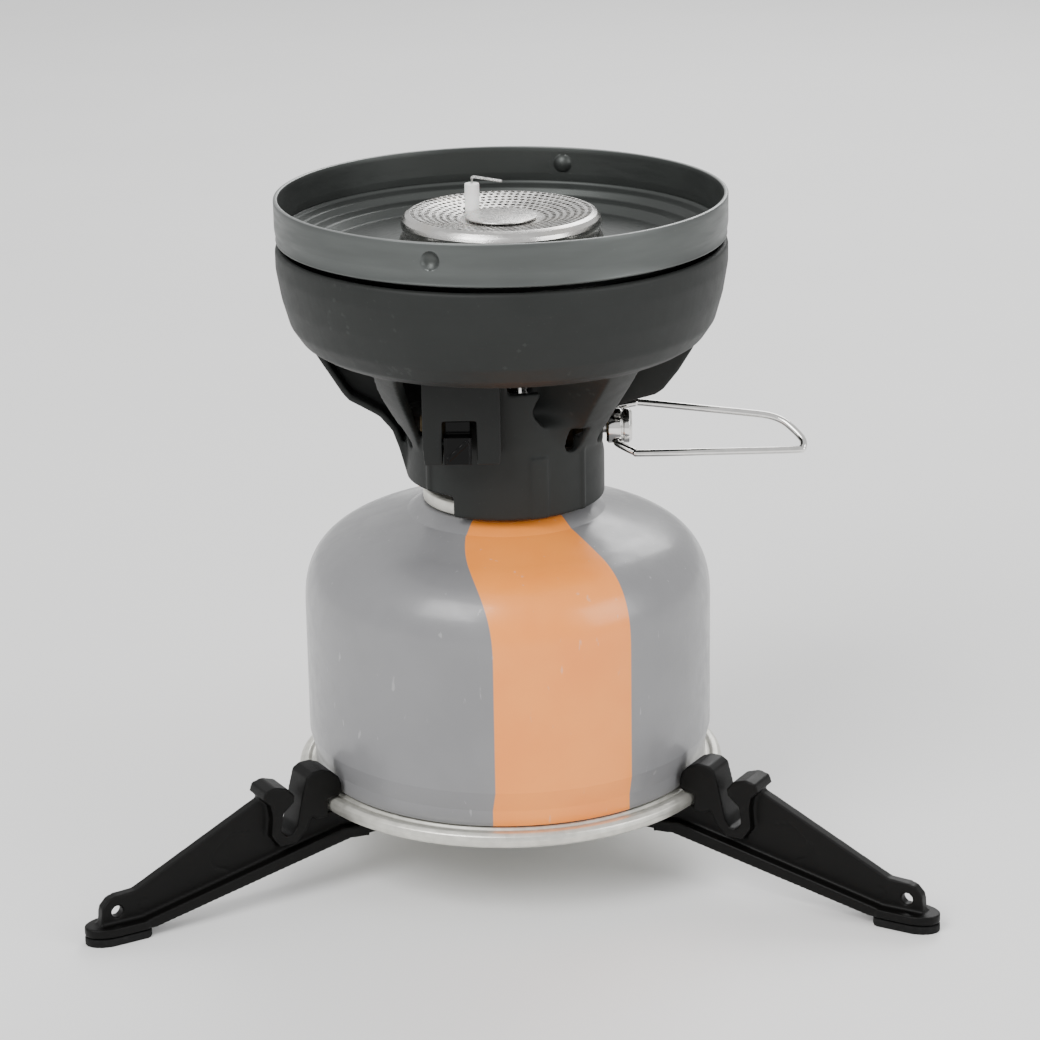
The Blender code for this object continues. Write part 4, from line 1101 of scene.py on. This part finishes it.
# ---------------------------------------------------------------- stage


def make_stage():
    bm = bmesh.new()
    bmesh.ops.create_grid(bm, x_segments=1, y_segments=1, size=3.0)
    mesh = bpy.data.meshes.new("floor")
    bm.to_mesh(mesh)
    bm.free()
    floor = bpy.data.objects.new("floor", mesh)
    bpy.context.scene.collection.objects.link(floor)
    look = Look("floor_pale", (0.86, 0.86, 0.855), 0.6)
    look.mottle(0.01, 0.99, 1.01)
    mesh.materials.append(look.done())

    world = bpy.data.worlds.new("studio")
    world.use_nodes = True
    sky = world.node_tree.nodes["Background"]
    sky.inputs["Color"].default_value = (1.0, 1.0, 1.0, 1.0)
    sky.inputs["Strength"].default_value = 0.85
    bpy.context.scene.world = world
    lamp("key", (-0.55, -0.75, 0.95), (0, 0, 0.08), 0.7, 14.0)
    lamp("fill", (0.9, -0.5, 0.5), (0, 0, 0.08), 0.6, 5.0)
    lamp("back", (0.3, 0.9, 0.8), (0, 0, 0.1), 0.6, 7.0)


def lamp(name, spot, aim, size, power):
    light = bpy.data.lights.new(name, "AREA")
    light.size = size
    light.energy = power
    obj = bpy.data.objects.new(name, light)
    bpy.context.scene.collection.objects.link(obj)
    obj.location = spot
    obj.rotation_euler = (Vector(aim) - Vector(spot)).to_track_quat("-Z", "Y").to_euler()


def make_camera():
    data = bpy.data.cameras.new("view")
    data.lens = LENS_MM
    data.sensor_width = SENSOR_MM
    camera = bpy.data.objects.new("view", data)
    bpy.context.scene.collection.objects.link(camera)
    camera.location = CAMERA_PLACE
    yaw = Matrix.Rotation(math.radians(CAMERA_YAW), 4, "Z")
    pitch = Matrix.Rotation(math.radians(90 - CAMERA_DOWN), 4, "X")
    roll = Matrix.Rotation(math.radians(CAMERA_ROLL), 4, "Z")
    camera.rotation_euler = (yaw @ pitch @ roll).to_euler()
    bpy.context.scene.camera = camera


for leg_side in LEG_AZIMUTHS:
    make_leg(leg_side)
make_hub()
make_canister()
make_cup()
make_head()
make_housing()
make_igniter()
make_valve()
make_stage()
make_camera()
